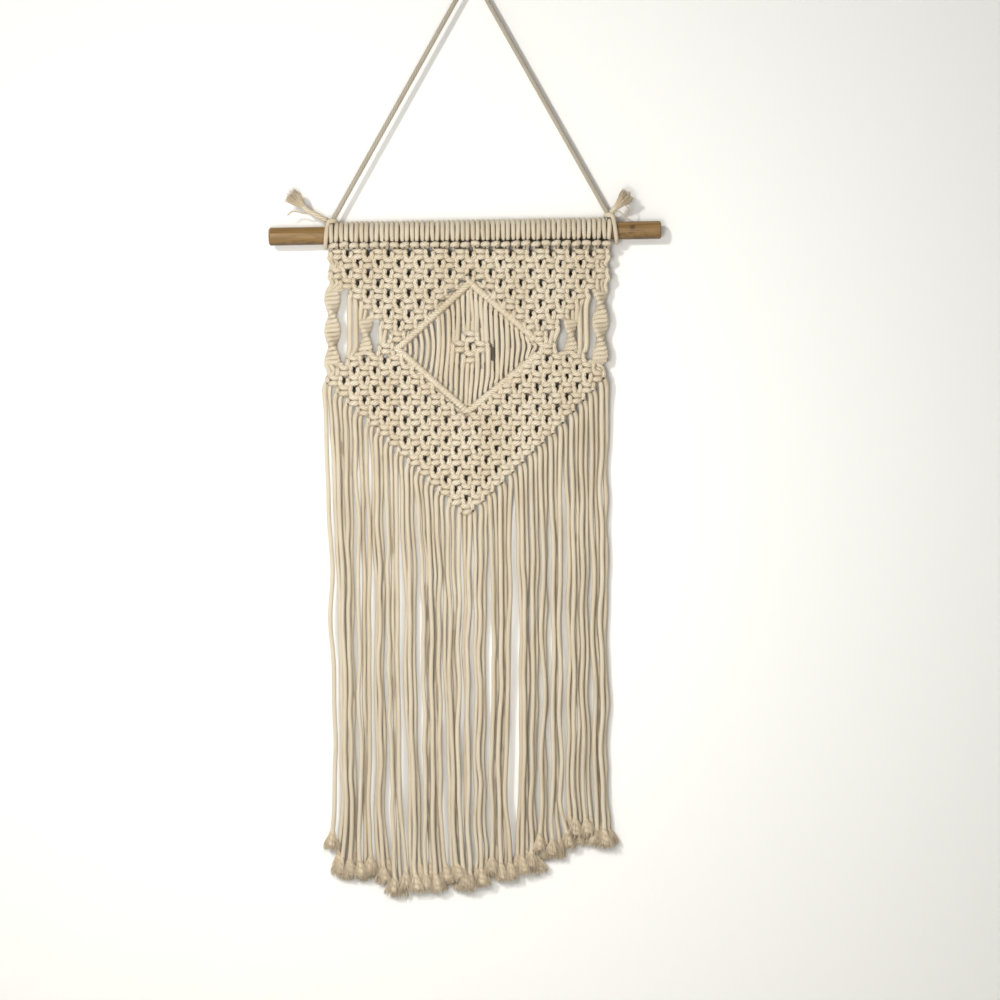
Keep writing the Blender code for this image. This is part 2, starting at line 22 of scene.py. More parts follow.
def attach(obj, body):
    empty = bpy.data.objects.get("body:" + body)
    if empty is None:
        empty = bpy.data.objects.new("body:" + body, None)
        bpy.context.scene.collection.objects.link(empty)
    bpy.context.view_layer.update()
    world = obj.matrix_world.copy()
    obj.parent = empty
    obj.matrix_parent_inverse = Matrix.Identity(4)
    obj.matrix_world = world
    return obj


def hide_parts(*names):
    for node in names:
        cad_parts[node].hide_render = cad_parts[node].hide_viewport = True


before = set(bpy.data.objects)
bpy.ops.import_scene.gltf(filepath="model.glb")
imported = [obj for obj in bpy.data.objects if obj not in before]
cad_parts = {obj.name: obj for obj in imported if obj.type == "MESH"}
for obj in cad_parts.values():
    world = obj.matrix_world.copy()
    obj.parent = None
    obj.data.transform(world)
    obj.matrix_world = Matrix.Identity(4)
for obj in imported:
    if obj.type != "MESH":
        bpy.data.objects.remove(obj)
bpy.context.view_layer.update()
MM = 0.001
print("solids:", sorted(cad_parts))

# %% [markdown]
# The camera comes first, since everything is judged through it. It stands 2.4 m in front of the
# wall, a little right of the piece, level with its middle, and looks straight at the wall. A long
# lens keeps the upright cords upright.

# %% Camera
CAMERA_X, CAMERA_Z, CAMERA_AWAY = 22.2, -400.2, 2400.0
VIEW_WIDTH = 778.0

camera_data = bpy.data.cameras.new("camera")
camera_data.sensor_width = 36.0
camera_data.lens = 36.0 * CAMERA_AWAY / VIEW_WIDTH
camera_data.clip_end = 50.0
camera = bpy.data.objects.new("camera", camera_data)
camera.location = (CAMERA_X * MM, -CAMERA_AWAY * MM, CAMERA_Z * MM)
camera.rotation_euler = (math.radians(90), 0, 0)
bpy.context.scene.collection.objects.link(camera)
bpy.context.scene.camera = camera
print("lens", round(camera_data.lens, 1), "mm")

# %% [markdown]
# A finish is a tree of nodes behind a material. The same few nodes come back in every finish, so
# each gets a short function: a new material, the place of a point on the object, noise and bump.


# %% Helpers for finishes
def new_material(name):
    """An empty node material, with its Principled shader and output."""
    made = bpy.data.materials.new(name)
    made.use_nodes = True
    nodes = made.node_tree.nodes
    return made, nodes, made.node_tree.links, nodes["Principled BSDF"]


def object_place(tree):
    """Where a point lies on the object, for patterns that stay put on it."""
    return tree.nodes.new("ShaderNodeTexCoord").outputs["Object"]


def noise_node(tree, vector, scale, detail, roughness=0.5):
    """Noise read at a vector."""
    node = tree.nodes.new("ShaderNodeTexNoise")
    node.inputs["Scale"].default_value = scale
    node.inputs["Detail"].default_value = detail
    node.inputs["Roughness"].default_value = roughness
    tree.links.new(vector, node.inputs["Vector"])
    return node.outputs["Fac"]


def bump_node(tree, height, strength, distance, normal=None):
    """A normal raised by a height, over another normal if one is given."""
    node = tree.nodes.new("ShaderNodeBump")
    node.inputs["Strength"].default_value = strength
    node.inputs["Distance"].default_value = distance
    tree.links.new(height, node.inputs["Height"])
    if normal is not None:
        tree.links.new(normal, node.inputs["Normal"])
    return node.outputs["Normal"]


print("materials that came with the solids:", len(bpy.data.materials))

# %% [markdown]
# The piece hangs against a painted wall over a pale floor. Both are only a stage. A camera behind
# the wall looks through it, so that the back of the knots can be studied as well. That takes a mix
# of paint and a clear shader by which side of the wall is seen. The wall still shades the piece
# from a lamp behind it.

# %% Wall and floor
WALL_Y = 11.6
FLOOR_Z = -1150.0


def stage_plane(name, size, place):
    """A square of stage, made from one grid and turned into place."""
    bm = bmesh.new()
    bmesh.ops.create_grid(bm, x_segments=1, y_segments=1, size=size / 2)
    bmesh.ops.transform(bm, matrix=place, verts=bm.verts)
    mesh = bpy.data.meshes.new(name)
    bm.to_mesh(mesh)
    bm.free()
    made = bpy.data.objects.new(name, mesh)
    bpy.context.scene.collection.objects.link(made)
    return made


def paint_material(name, colour):
    """Matt wall paint with the faint texture a roller leaves."""
    made, _, links, shader = new_material(name)
    shader.inputs["Base Color"].default_value = (*colour, 1)
    shader.inputs["Roughness"].default_value = 0.85
    shader.inputs["Specular IOR Level"].default_value = 0.2
    tree = made.node_tree
    roller = noise_node(tree, object_place(tree), 130, 4)
    links.new(bump_node(tree, roller, 0.12, 0.0006), shader.inputs["Normal"])
    return made


wall = stage_plane("wall", 6.0, Matrix.Translation((0, WALL_Y * MM, 0))
                   @ Matrix.Rotation(math.radians(90), 4, "X"))
wall_paint = paint_material("wall_paint", (0.90, 0.895, 0.87))
wall.data.materials.append(wall_paint)
wall_nodes, wall_links = wall_paint.node_tree.nodes, wall_paint.node_tree.links
side = wall_nodes.new("ShaderNodeNewGeometry")
clear = wall_nodes.new("ShaderNodeBsdfTransparent")
choose = wall_nodes.new("ShaderNodeMixShader")
wall_links.new(side.outputs["Backfacing"], choose.inputs["Fac"])
wall_links.new(wall_nodes["Principled BSDF"].outputs["BSDF"], choose.inputs[1])
wall_links.new(clear.outputs["BSDF"], choose.inputs[2])
wall_links.new(choose.outputs["Shader"], wall_nodes["Material Output"].inputs["Surface"])
floor = stage_plane("floor", 12.0, Matrix.Translation((0, 0, FLOOR_Z * MM)))
floor.data.materials.append(paint_material("floor_paint", (0.80, 0.79, 0.76)))
print("wall at y", WALL_Y, "mm, floor at z", FLOOR_Z, "mm")

# %% [markdown]
# A small hard lamp stands far off, up and to the left. It throws the clear shade that lies to the
# right of the piece. A small lamp near the front looks straight into the gaps, through a grid that
# narrows its beam, so the wall is brightest behind the piece and falls off to its corners. A large
# soft lamp rounds the cords, and a weak even sky keeps their far sides open. A lamp behind the wall
# lights only the room there.


# %% Lights
def lamp(name, place, aim, size, power, colour=(1, 1, 1), beam=180):
    """A square lamp at a place, pointed at another, its beam that many degrees wide."""
    data = bpy.data.lights.new(name, "AREA")
    data.shape = "SQUARE"
    data.size = size
    data.energy = power
    data.color = colour
    data.spread = math.radians(beam)
    made = bpy.data.objects.new(name, data)
    made.location = place
    made.visible_camera = False
    made.rotation_euler = (Vector(aim) - Vector(place)).to_track_quat("-Z", "Y").to_euler()
    bpy.context.scene.collection.objects.link(made)
    return made


LAMP_AIM = (0.0, 0.0, -0.36)
lamp("key_lamp", (-1.0, -2.20, 0.42), LAMP_AIM, 0.18, 29.5, (1.0, 0.985, 0.955))
lamp("near_lamp", (-0.08, -0.90, -0.38), (-0.09, 0.0, -0.40), 0.20, 1.13, (1.0, 0.995, 0.985), 100)
lamp("front_lamp", (-0.16, -0.95, -0.36), (-0.08, 0.0, -0.36), 1.3, 4.1, (1.0, 0.995, 0.985))
lamp("back_lamp", (1.5, 2.6, 0.6), LAMP_AIM, 1.5, 26)
sky = bpy.data.worlds.new("room")
sky.use_nodes = True
sky.node_tree.nodes["Background"].inputs["Color"].default_value = (1.0, 0.975, 0.93, 1)
sky.node_tree.nodes["Background"].inputs["Strength"].default_value = 0.13
bpy.context.scene.world = sky
bpy.context.scene.view_settings.view_transform = "Standard"

# %% [markdown]
# ## How a cord is laid
# Every cord is a list of stops: x, depth, z and radius, in millimetres. A smooth line is drawn
# through the stops, sampled closely where it turns and widely where it only hangs. A Bezier curve
# would need two handles at every stop. A Catmull-Rom line needs only the stops and passes through
# all of them, which suits a cord that is led from place to place.


# %% Smooth lines through stops
def with_ends(stops):
    """Stops with one more before the first and after the last, to steer the ends."""
    stops = np.array(stops, float)
    return np.vstack([2 * stops[0] - stops[1], stops, 2 * stops[-1] - stops[-2]])


def span_points(a, b, c, d, step):
    """Catmull-Rom points, about a step apart, from b up to c, with a before them and d after."""
    count = max(1, int(math.ceil(np.linalg.norm((c - b)[:3]) / step)))
    return [0.5 * (2 * b + (c - a) * t + (2 * a - 5 * b + 4 * c - d) * t * t
                   + (3 * b - a - 3 * c + d) * t ** 3) for t in np.arange(count) / count]


def smooth_line(stops, step):
    """A smooth line, with points about a step apart, through stops of four numbers."""
    ends = with_ends(stops)
    rows = []
    for a, b, c, d in zip(ends, ends[1:], ends[2:], ends[3:]):
        rows += span_points(a, b, c, d, step)
    rows.append(ends[-2])
    return np.array(rows)


small_bend = smooth_line([(0, 0, 0, 1), (5, 0, 5, 1), (0, 0, 9, 1)], 1.0)
print("a bend of three stops gets", len(small_bend), "points")

# %% [markdown]
# The yarn of a cord slants round it, so its finish has to know how far along the cord a point is.
# A curve that is made a mesh unrolls each cord on a UV map, from 0 to 1. The function below
# stretches that map to real millimetres, so that the twist has the same size on a long strand as in
# a tight knot. It also gives every cord a tone of its own.


# %% A UV map in millimetres
def measure_twist(mesh, lines, capped):
    """Stretch the UV map to millimetres along each cord and store one random tone per cord."""
    layer = mesh.uv_layers[0]
    uv = np.zeros(len(mesh.loops) * 2, np.float32)
    layer.uv.foreach_get("vector", uv)
    uv = uv.reshape(-1, 2)
    corner_vertex = np.zeros(len(mesh.loops), np.int32)
    mesh.loops.foreach_get("vertex_index", corner_vertex)
    counts = np.array([len(line) for line in lines])
    caps = 2 * len(lines) * capped
    sides = len(mesh.vertices) // int(counts.sum() + caps)
    first = (np.concatenate([[0], np.cumsum(counts)[:-1]]) + caps) * sides
    tone = np.zeros(len(mesh.vertices), np.float32)
    along = np.zeros(len(mesh.vertices), np.float32)
    chance = random.Random(len(lines))
    for start, line in zip(first, lines):
        steps = np.linalg.norm(np.diff(line[:, :3], axis=0), axis=1)
        run = np.concatenate([[0], np.cumsum(steps)]) + chance.random() * 12
        end = start + len(line) * sides
        along[start:end] = np.repeat(run, sides)
        tone[start:end] = chance.random()
    uv[:, 0] = along[corner_vertex]
    layer.uv.foreach_set("vector", uv.ravel())
    tones = mesh.attributes.new("tone", "FLOAT", "POINT")
    tones.data.foreach_set("value", tone)


print("the map counts millimetres along a cord and one turn round it")

# %% [markdown]
# A round section is run along each line. It could be swept with bmesh, ring by ring, but Blender's
# curves do just this. So each group of cords is one curve object with many splines, which is then
# made a mesh.

# %% Round cords
CORD_SIDES = 8


def lay_cords(name, lines, look, sides=CORD_SIDES, capped=False):
    """A mesh of round cords along lines, with a UV map in millimetres and a tone per cord."""
    curve = bpy.data.curves.new(name, "CURVE")
    curve.dimensions = "3D"
    curve.bevel_depth = MM
    curve.bevel_resolution = max(0, (sides - 4) // 2)
    curve.use_fill_caps = capped
    for line in lines:
        spline = curve.splines.new("POLY")
        spline.points.add(len(line) - 1)
        spline.points.foreach_set("co", np.column_stack(
            [line[:, :3] * MM, np.ones(len(line))]).ravel())
        spline.points.foreach_set("radius", np.ascontiguousarray(line[:, 3]))
    shape = bpy.data.objects.new(name + "_curve", curve)
    bpy.context.scene.collection.objects.link(shape)
    mesh = bpy.data.meshes.new_from_object(shape)
    bpy.data.objects.remove(shape)
    bpy.data.curves.remove(curve)
    mesh.name = name
    measure_twist(mesh, lines, capped)
    mesh.materials.clear()
    mesh.materials.append(look)
    mesh.shade_smooth()
    made = bpy.data.objects.new(name, mesh)
    bpy.context.scene.collection.objects.link(made)
    triangles = sum(len(face.vertices) - 2 for face in mesh.polygons)
    print(f"{name}: {len(lines)} cords, {triangles} triangles")
    return made


print("cords have", CORD_SIDES, "sides")

# %% [markdown]
# ## Finishes
# Twist, uneven tone and painted crevice shade show on more than one finish. Each of them is a node
# group: a small tree that is made once, has named inputs and outputs, and is placed in every finish
# with values of its own.


# %% Helpers for node groups
def new_group(name, inputs, outputs):
    """A shader node group with named sockets, and its nodes for what goes in and out."""
    group = bpy.data.node_groups.new(name, "ShaderNodeTree")
    for socket, kind, value in inputs:
        made = group.interface.new_socket(name=socket, in_out="INPUT", socket_type=kind)
        if value is not None:
            made.default_value = value
    for socket, kind in outputs:
        group.interface.new_socket(name=socket, in_out="OUTPUT", socket_type=kind)
    return group, group.nodes.new("NodeGroupInput"), group.nodes.new("NodeGroupOutput")


def math_node(tree, operation, *values):
    """A math node fed by numbers or by other nodes' outputs."""
    node = tree.nodes.new("ShaderNodeMath")
    node.operation = operation
    for socket, value in zip(node.inputs, values):
        if isinstance(value, (int, float)):
            socket.default_value = value
        else:
            tree.links.new(value, socket)
    return node.outputs[0]


print("node groups before the first:", len(bpy.data.node_groups))

# %% [markdown]
# Cotton cord is many thin yarns twisted together. On the cord they read as fine slanting ridges
# with a soft fuzz over them. A carved ridge for each yarn would take millions of faces. Here the
# ridges are a sine of two numbers: how far along the cord a point is and how far round it. The
# number of yarns and their rise are inputs. The group gives a height for the bump and a mask for
# the grooves, where the finish paints shade.


# %% Twisted yarn as a node group
def make_twist_group():
    """Ridges and grooves of twisted yarns, read from a UV map in millimetres."""
    group, given, result = new_group(
        "twisted_yarn",
        (("UV", "NodeSocketVector", None), ("Yarns", "NodeSocketFloat", 6.0),
         ("Rise", "NodeSocketFloat", 12.0), ("Wander", "NodeSocketFloat", 0.25)),
        (("Height", "NodeSocketFloat"), ("Groove", "NodeSocketFloat")))
    split = group.nodes.new("ShaderNodeSeparateXYZ")
    group.links.new(given.outputs["UV"], split.inputs[0])
    noise = noise_node(group, object_place(group), 900, 2)
    wander = math_node(group, "MULTIPLY", math_node(group, "SUBTRACT", noise, 0.5),
                       given.outputs["Wander"])
    turns = math_node(group, "ADD", split.outputs["Y"],
                      math_node(group, "DIVIDE", split.outputs["X"], given.outputs["Rise"]))
    phase = math_node(group, "ADD", math_node(group, "MULTIPLY", turns, given.outputs["Yarns"]),
                      wander)
    ridge = math_node(group, "ABSOLUTE", math_node(
        group, "SINE", math_node(group, "MULTIPLY", phase, math.pi)))
    height = math_node(group, "POWER", ridge, 0.6)
    groove = math_node(group, "POWER", math_node(group, "SUBTRACT", 1.0, ridge), 1.5)
    group.links.new(height, result.inputs["Height"])
    group.links.new(groove, result.inputs["Groove"])
    return group


twisted_yarn = make_twist_group()
print("group:", twisted_yarn.name)

# %% [markdown]
# Raw cotton is never one even colour. Washed and handled cord has warm and cool patches a few
# centimetres wide and fine flecks of seed. Wood has the same kind of slow drift. This second
# group gives both masks, at a size that each finish chooses.


# %% Uneven tone as a node group
def map_range(tree, value, low, high, bottom=0.0, top=1.0, smooth=False):
    """A value stretched from one range to another and held inside it."""
    node = tree.nodes.new("ShaderNodeMapRange")
    node.interpolation_type = "SMOOTHSTEP" if smooth else "LINEAR"
    for socket, number in (("From Min", low), ("From Max", high), ("To Min", bottom),
                           ("To Max", top)):
        node.inputs[socket].default_value = number
    tree.links.new(value, node.inputs["Value"])
    return node.outputs["Result"]


def make_mottle_group():
    """Masks for slow patches and for fine flecks."""
    group, given, result = new_group(
        "uneven_tone",
        (("Patch", "NodeSocketFloat", 30.0), ("Fleck", "NodeSocketFloat", 700.0)),
        (("Patches", "NodeSocketFloat"), ("Flecks", "NodeSocketFloat")))
    for size, output, low, high in (("Patch", "Patches", 0.35, 0.65),
                                    ("Fleck", "Flecks", 0.60, 0.74)):
        noise = noise_node(group, object_place(group), 1.0, 3)
        group.links.new(given.outputs[size], noise.node.inputs["Scale"])
        group.links.new(map_range(group, noise, low, high), result.inputs[output])
    return group


uneven_tone = make_mottle_group()
print("group:", uneven_tone.name)

# %% [markdown]
# Shade falls deep between the cords. Further down, every point of a cord is given a number for how
# deep it lies. This third group paints that shade into any colour, turning it dark brown by that
# number, and each cotton finish chooses how much.


# %% Painted crevice shade as a node group
# Near-black brown painted into the hollows between cords as shade.
PAINTED_SHADE_COLOUR = (0.030, 0.019, 0.010)
CREVICE_UNSHADED, CREVICE_FULLY_SHADED = 0.44, 0.73


def mix_colour(tree, mask, first, second):
    """A colour mix of two colours or outputs by a mask."""
    node = tree.nodes.new("ShaderNodeMix")
    node.data_type = "RGBA"
    if isinstance(mask, (int, float)):
        node.inputs[0].default_value = mask
    else:
        tree.links.new(mask, node.inputs[0])
    for socket, value in ((node.inputs[6], first), (node.inputs[7], second)):
        if isinstance(value, tuple):
            socket.default_value = (*value, 1)
        else:
            tree.links.new(value, socket)
    return node.outputs[2]


def placed(tree, group, **values):
    """A node group placed in a material with its own values."""
    node = tree.nodes.new("ShaderNodeGroup")
    node.node_tree = group
    for name, value in values.items():
        node.inputs[name].default_value = value
    return node


def make_crevice_shade_group():
    """A colour darkened with painted shade by how deep a point lies."""
    group, given, result = new_group(
        "painted_crevice_shade",
        (("Colour", "NodeSocketColor", None), ("Amount", "NodeSocketFloat", 1.0)),
        (("Colour", "NodeSocketColor"),))
    crevice = group.nodes.new("ShaderNodeAttribute")
    crevice.attribute_name = "crevice"
    # Painted shade: the deeper a point lies, the more its colour goes to the dark brown.
    deep = map_range(group, crevice.outputs["Fac"], CREVICE_UNSHADED, CREVICE_FULLY_SHADED, smooth=True)
    shade_share = math_node(group, "MULTIPLY", deep, given.outputs["Amount"])
    group.links.new(mix_colour(group, shade_share, given.outputs["Colour"], PAINTED_SHADE_COLOUR),
                    result.inputs["Colour"])
    return group


painted_crevice_shade = make_crevice_shade_group()
print("group:", painted_crevice_shade.name)

# %% [markdown]
# The cotton finish mixes a light and a warm shade of cord by patch and by cord, paints shade
# into the grooves between yarns and into the hollows between cords, and raises the twist and a
# finer fuzz with two bumps. A little sheen stands for the loose fibres that catch light at the
# edges.


# %% Cotton cord
def cotton_material(name, light, warm, yarns, rise, depth, painted_shade=0.96, shade=0.7):
    """Cotton cord with a given twist, twist depth in metres."""
    made, nodes, links, shader = new_material(name)
    tree = made.node_tree
    unrolled = nodes.new("ShaderNodeUVMap")
    unrolled.uv_map = "UVMap"
    twist = placed(tree, twisted_yarn, Yarns=yarns, Rise=rise, Wander=0.5)
    links.new(unrolled.outputs["UV"], twist.inputs["UV"])
    tone = placed(tree, uneven_tone, Patch=38.0, Fleck=1500.0)
    each = nodes.new("ShaderNodeAttribute")
    each.attribute_name = "tone"
    patch = math_node(tree, "ADD", math_node(tree, "MULTIPLY", tone.outputs["Patches"], 0.5),
                      math_node(tree, "MULTIPLY", each.outputs["Fac"], 0.5))
    body = mix_colour(tree, patch, light, warm)
    # Painted shade in the grooves between yarns, darker by the groove mask.
    grooved = mix_colour(tree, math_node(tree, "MULTIPLY", twist.outputs["Groove"], shade),
                         body, tuple(part * 0.5 for part in warm))
    flecked = mix_colour(tree, math_node(tree, "MULTIPLY", tone.outputs["Flecks"], 0.22),
                         grooved, tuple(part * 0.45 for part in warm))
    # Painted shade in the hollows between cords, by the crevice number of each point.
    crevice_shaded = placed(tree, painted_crevice_shade, Amount=painted_shade)
    links.new(flecked, crevice_shaded.inputs["Colour"])
    links.new(crevice_shaded.outputs["Colour"], shader.inputs["Base Color"])
    shader.inputs["Roughness"].default_value = 0.9
    shader.inputs["Specular IOR Level"].default_value = 0.18
    shader.inputs["Sheen Weight"].default_value = 0.09
    shader.inputs["Sheen Roughness"].default_value = 0.5
    fuzz = noise_node(tree, object_place(tree), 2600, 3)
    soft = bump_node(tree, fuzz, 0.35, 0.00025)
    links.new(bump_node(tree, twist.outputs["Height"], 0.8, depth, soft), shader.inputs["Normal"])
    return made


COTTON_LIGHT, COTTON_WARM = (0.84, 0.75, 0.59), (0.72, 0.605, 0.435)
cotton_cord = cotton_material("cotton_cord", COTTON_LIGHT, COTTON_WARM, 6.0, 13.0, 0.0007)
cotton_hanger = cotton_material("cotton_hanger_cord", (0.54, 0.49, 0.40), (0.47, 0.41, 0.32),
                                5.0, 13.0, 0.0007, shade=0.4)
frayed_cotton = cotton_material("frayed_cotton", (0.71, 0.60, 0.44), (0.61, 0.495, 0.345),
                                2.0, 9.0, 0.0002, painted_shade=0.3)
print("finishes:", cotton_cord.name, cotton_hanger.name, frayed_cotton.name)

# %% [markdown]
# ## The dowel
# The dowel keeps its solid and only gets a finish: oiled hardwood with a fine grain that runs
# along it, darker pores, a few small dark specks, dark smudges and painted shade on its lower half,
# a painted shade along its underside, and rings on the cut ends. Grain is noise pulled out along
# the stick. The end faces and the lower half are told apart by where their surface points.


# %% Oiled wood
DOWEL_DROP = 192.6
DOWEL_TILT = 1.0


def mapped(tree, vector, scale):
    """A vector stretched by a scale, which pulls a pattern out along the smallest number."""
    node = tree.nodes.new("ShaderNodeMapping")
    node.inputs["Scale"].default_value = scale
    tree.links.new(vector, node.inputs["Vector"])
    return node.outputs["Vector"]


def wood_material():
    """Oiled hardwood: grain, pores, specks, smudges and painted shade below, and ringed ends."""
    made, nodes, links, shader = new_material("oiled_wood")
    tree = made.node_tree
    along = nodes.new("ShaderNodeMapping")
    along.inputs["Location"].default_value = (0, 0, DOWEL_DROP * MM)
    along.inputs["Rotation"].default_value = (0, math.radians(DOWEL_TILT), 0)
    links.new(object_place(tree), along.inputs["Vector"])
    along = along.outputs["Vector"]
    grain = noise_node(tree, mapped(tree, along, (14, 420, 420)), 1.0, 5, 0.65)
    ramp = nodes.new("ShaderNodeValToRGB")
    dark, pale = ramp.color_ramp.elements
    dark.position, dark.color = 0.32, (0.135, 0.069, 0.016, 1)
    pale.position, pale.color = 0.66, (0.375, 0.226, 0.073, 1)
    links.new(grain, ramp.inputs["Fac"])
    tone = placed(tree, uneven_tone, Patch=26.0, Fleck=190.0)
    toned = mix_colour(tree, math_node(tree, "MULTIPLY", tone.outputs["Patches"], 0.45),
                       ramp.outputs["Color"], (0.20, 0.112, 0.033))
    specks = nodes.new("ShaderNodeTexVoronoi")
    specks.inputs["Scale"].default_value = 58
    links.new(along, specks.inputs["Vector"])
    speck = map_range(tree, specks.outputs["Distance"], 0.17, 0.07)
    dotted = mix_colour(tree, math_node(tree, "MULTIPLY", speck, 0.75), toned,
                        (0.05, 0.022, 0.008))
    facing = nodes.new("ShaderNodeNewGeometry")
    split = nodes.new("ShaderNodeSeparateXYZ")
    links.new(facing.outputs["Normal"], split.inputs[0])
    # Dark smudges kept to the half that faces down: partly marks on the wood, partly painted shade
    # where that half is darker under light from above.
    smudges = noise_node(tree, mapped(tree, along, (70, 190, 190)), 1.0, 4, 0.7)
    lower_smudges_and_shade = math_node(tree, "MULTIPLY", map_range(tree, smudges, 0.47, 0.62),
                        map_range(tree, split.outputs["Z"], 0.15, -0.45))
    smudged_and_shaded = mix_colour(tree, math_node(tree, "MULTIPLY", lower_smudges_and_shade, 0.75), dotted,
                      (0.060, 0.030, 0.012))
    # Painted shade: the underside, facing down, is darkened toward brown as if in shadow.
    underside_shade_mask = map_range(tree, split.outputs["Z"], -0.55, -0.95)
    with_underside_shade = mix_colour(tree, math_node(tree, "MULTIPLY", underside_shade_mask, 0.6), smudged_and_shaded,
                            (0.075, 0.045, 0.022))
    rings = nodes.new("ShaderNodeTexWave")
    rings.wave_type = "RINGS"
    rings.rings_direction = "X"
    rings.inputs["Scale"].default_value = 160
    rings.inputs["Distortion"].default_value = 3.0
    links.new(along, rings.inputs["Vector"])
    ring_colour = mix_colour(tree, rings.outputs["Fac"], (0.17, 0.105, 0.042), (0.28, 0.18, 0.08))
    end = math_node(tree, "GREATER_THAN", math_node(tree, "ABSOLUTE", split.outputs["X"]), 0.9)
    links.new(mix_colour(tree, end, with_underside_shade, ring_colour), shader.inputs["Base Color"])
    links.new(map_range(tree, grain, 0.0, 1.0, 0.62, 0.42), shader.inputs["Roughness"])
    links.new(bump_node(tree, grain, 0.5, 0.0003), shader.inputs["Normal"])
    return made


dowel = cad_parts["dowel"]
dowel.data.materials.clear()
dowel.data.materials.append(wood_material())

# %% [markdown]
# ## The hanger
# One cord goes up from a hitch on the dowel, over the nail and down to the other hitch. It is
# pulled taut by the load, so its two legs are straight and only its bend is round.

# %% Hanger cord
HANGER_RADIUS = 1.8
BEND_RADIUS = 8.0
DOWEL_SLOPE = math.tan(math.radians(DOWEL_TILT))
LEG_FOOT_X = (-107.8, 106.6)


def dowel_z(x):
    """Height of the dowel's axis at x."""
    return -DOWEL_DROP + x * DOWEL_SLOPE


def hanger_route():
    """Centre line of the hanger: up the left leg, round the bend, down the right leg."""
    rise = 11.3 + math.sin(math.radians(29)) * HANGER_RADIUS
    feet = [Vector((x, dowel_z(x) + rise)) for x in LEG_FOOT_X]
    centre = Vector((0, HANGER_RADIUS - BEND_RADIUS))
    turns = []
    for foot, way in zip(feet, (-1, 1)):
        offset = foot - centre
        base = math.atan2(offset.y, offset.x)
        turns.append((base + way * math.acos(BEND_RADIUS / offset.length)) % math.tau)
    angles = np.linspace(turns[0], turns[1], 11)
    bend = [centre + BEND_RADIUS * Vector((math.cos(a), math.sin(a))) for a in angles]
    shares = np.arange(40) / 40
    left = [feet[0].lerp(bend[0], share) for share in shares]
    right = [feet[1].lerp(bend[-1], share) for share in shares[::-1]]
    return [(p.x, 0.0, p.y, HANGER_RADIUS) for p in left + bend + right]


def belongs(piece, node):
    """Say that a cotton piece rides on the part and stands for a node."""
    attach(piece, "root")
    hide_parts(node)


hanger_line = np.array(hanger_route())
hanger = lay_cords("hanger", [hanger_line], cotton_hanger, sides=12, capped=True)
belongs(hanger, "hanger_cord")

# %% [markdown]
# ## The plan of the panel
# The 56 cords are counted from the left. A square knot takes four neighbours and keeps their
# order, so a cord's number is also its place. Knots of one row sit between those of the row
# above. Columns count half knots, so a knot stands where its column and row add up to an even
# number. Near the sides, the diamond and the bottom edge, some knots are left out.

# %% Where the knots are
CORDS = 56
COLUMNS, ROWS = 28, 26
CENTRE_X = -0.7
HALF_KNOT = (7.97, 7.78)
ROW_HEIGHTS = ((1, -209.0), (2, -215.9), (8, -263.3), (11, -292.0), (26, -407.2))
ROW_DRIFT = ((8, 0.0), (11, -2.7), (15, -2.7), (22, -3.3))
RIGHT_LIFT = ((10, 0.5), (13, 3.7), (14, 3.1), (17, 0.0))
WINDOW_FIRST = {5: 3, 6: 4, 7: 5, 8: 6, 9: 7, 10: 6, 11: 3}
ABOVE_DIAMOND, BELOW_DIAMOND = 16, 4
V_START_ROW = 12


def between(table, at):
    """Read a table of key and value at any key, straight between its rows."""
    keys, values = zip(*table)
    return float(np.interp(at, keys, values))


def knot_place(column, row):
    """Middle of the knot at a column and row: x and z."""
    offset = column - COLUMNS / 2
    x = CENTRE_X + offset * HALF_KNOT[offset > 0] + between(ROW_DRIFT, row)
    lift = between(RIGHT_LIFT, row) * column / COLUMNS if row > RIGHT_LIFT[0][0] else 0.0
    return x, between(ROW_HEIGHTS, row) + lift


def has_knot(column, row):
    """True where the panel holds a square knot."""
    edge = min(column, COLUMNS - column)
    if (column + row) % 2 or edge < 1 or not 1 <= row <= ROWS:
        return False
    beside_diamond = edge + row <= ABOVE_DIAMOND or row - edge >= BELOW_DIAMOND
    inside_v = edge >= row - V_START_ROW
    return beside_diamond and inside_v and edge >= WINDOW_FIRST.get(row, 1)


def knot_of(cord, row):
    """Column of the knot that a cord could be in at a row, and its role there, 0 to 3."""
    column = (cord + 1) // 2
    if (column + row) % 2:
        column -= 1
    return column, cord - (2 * column - 1)


KNOTS = [(column, row) for row in range(1, ROWS + 1) for column in range(1, COLUMNS)
         if has_knot(column, row)]
print("square knots:", len(KNOTS))

# %% [markdown]
# ## The square knot
# Two filler cords hang straight in the middle. The left working cord makes the two bars in front.
# The right one passes behind the fillers and hooks round the other's bends at the sides. Each
# list below is one cord's way through the knot, seen from the front, in millimetres from its
# middle. Between two knots of a row the left one's bend is pulled wide and deep, and fills the
# bottom of the hole between them. A knot with no neighbour has a tight bend. One knot could be
# modelled and copied 194 times, but then the cords would break between the knots and all knots
# would be alike. Every knot is pulled a little differently by hand, so it is turned a few degrees
# and its stops are moved a few tenths.

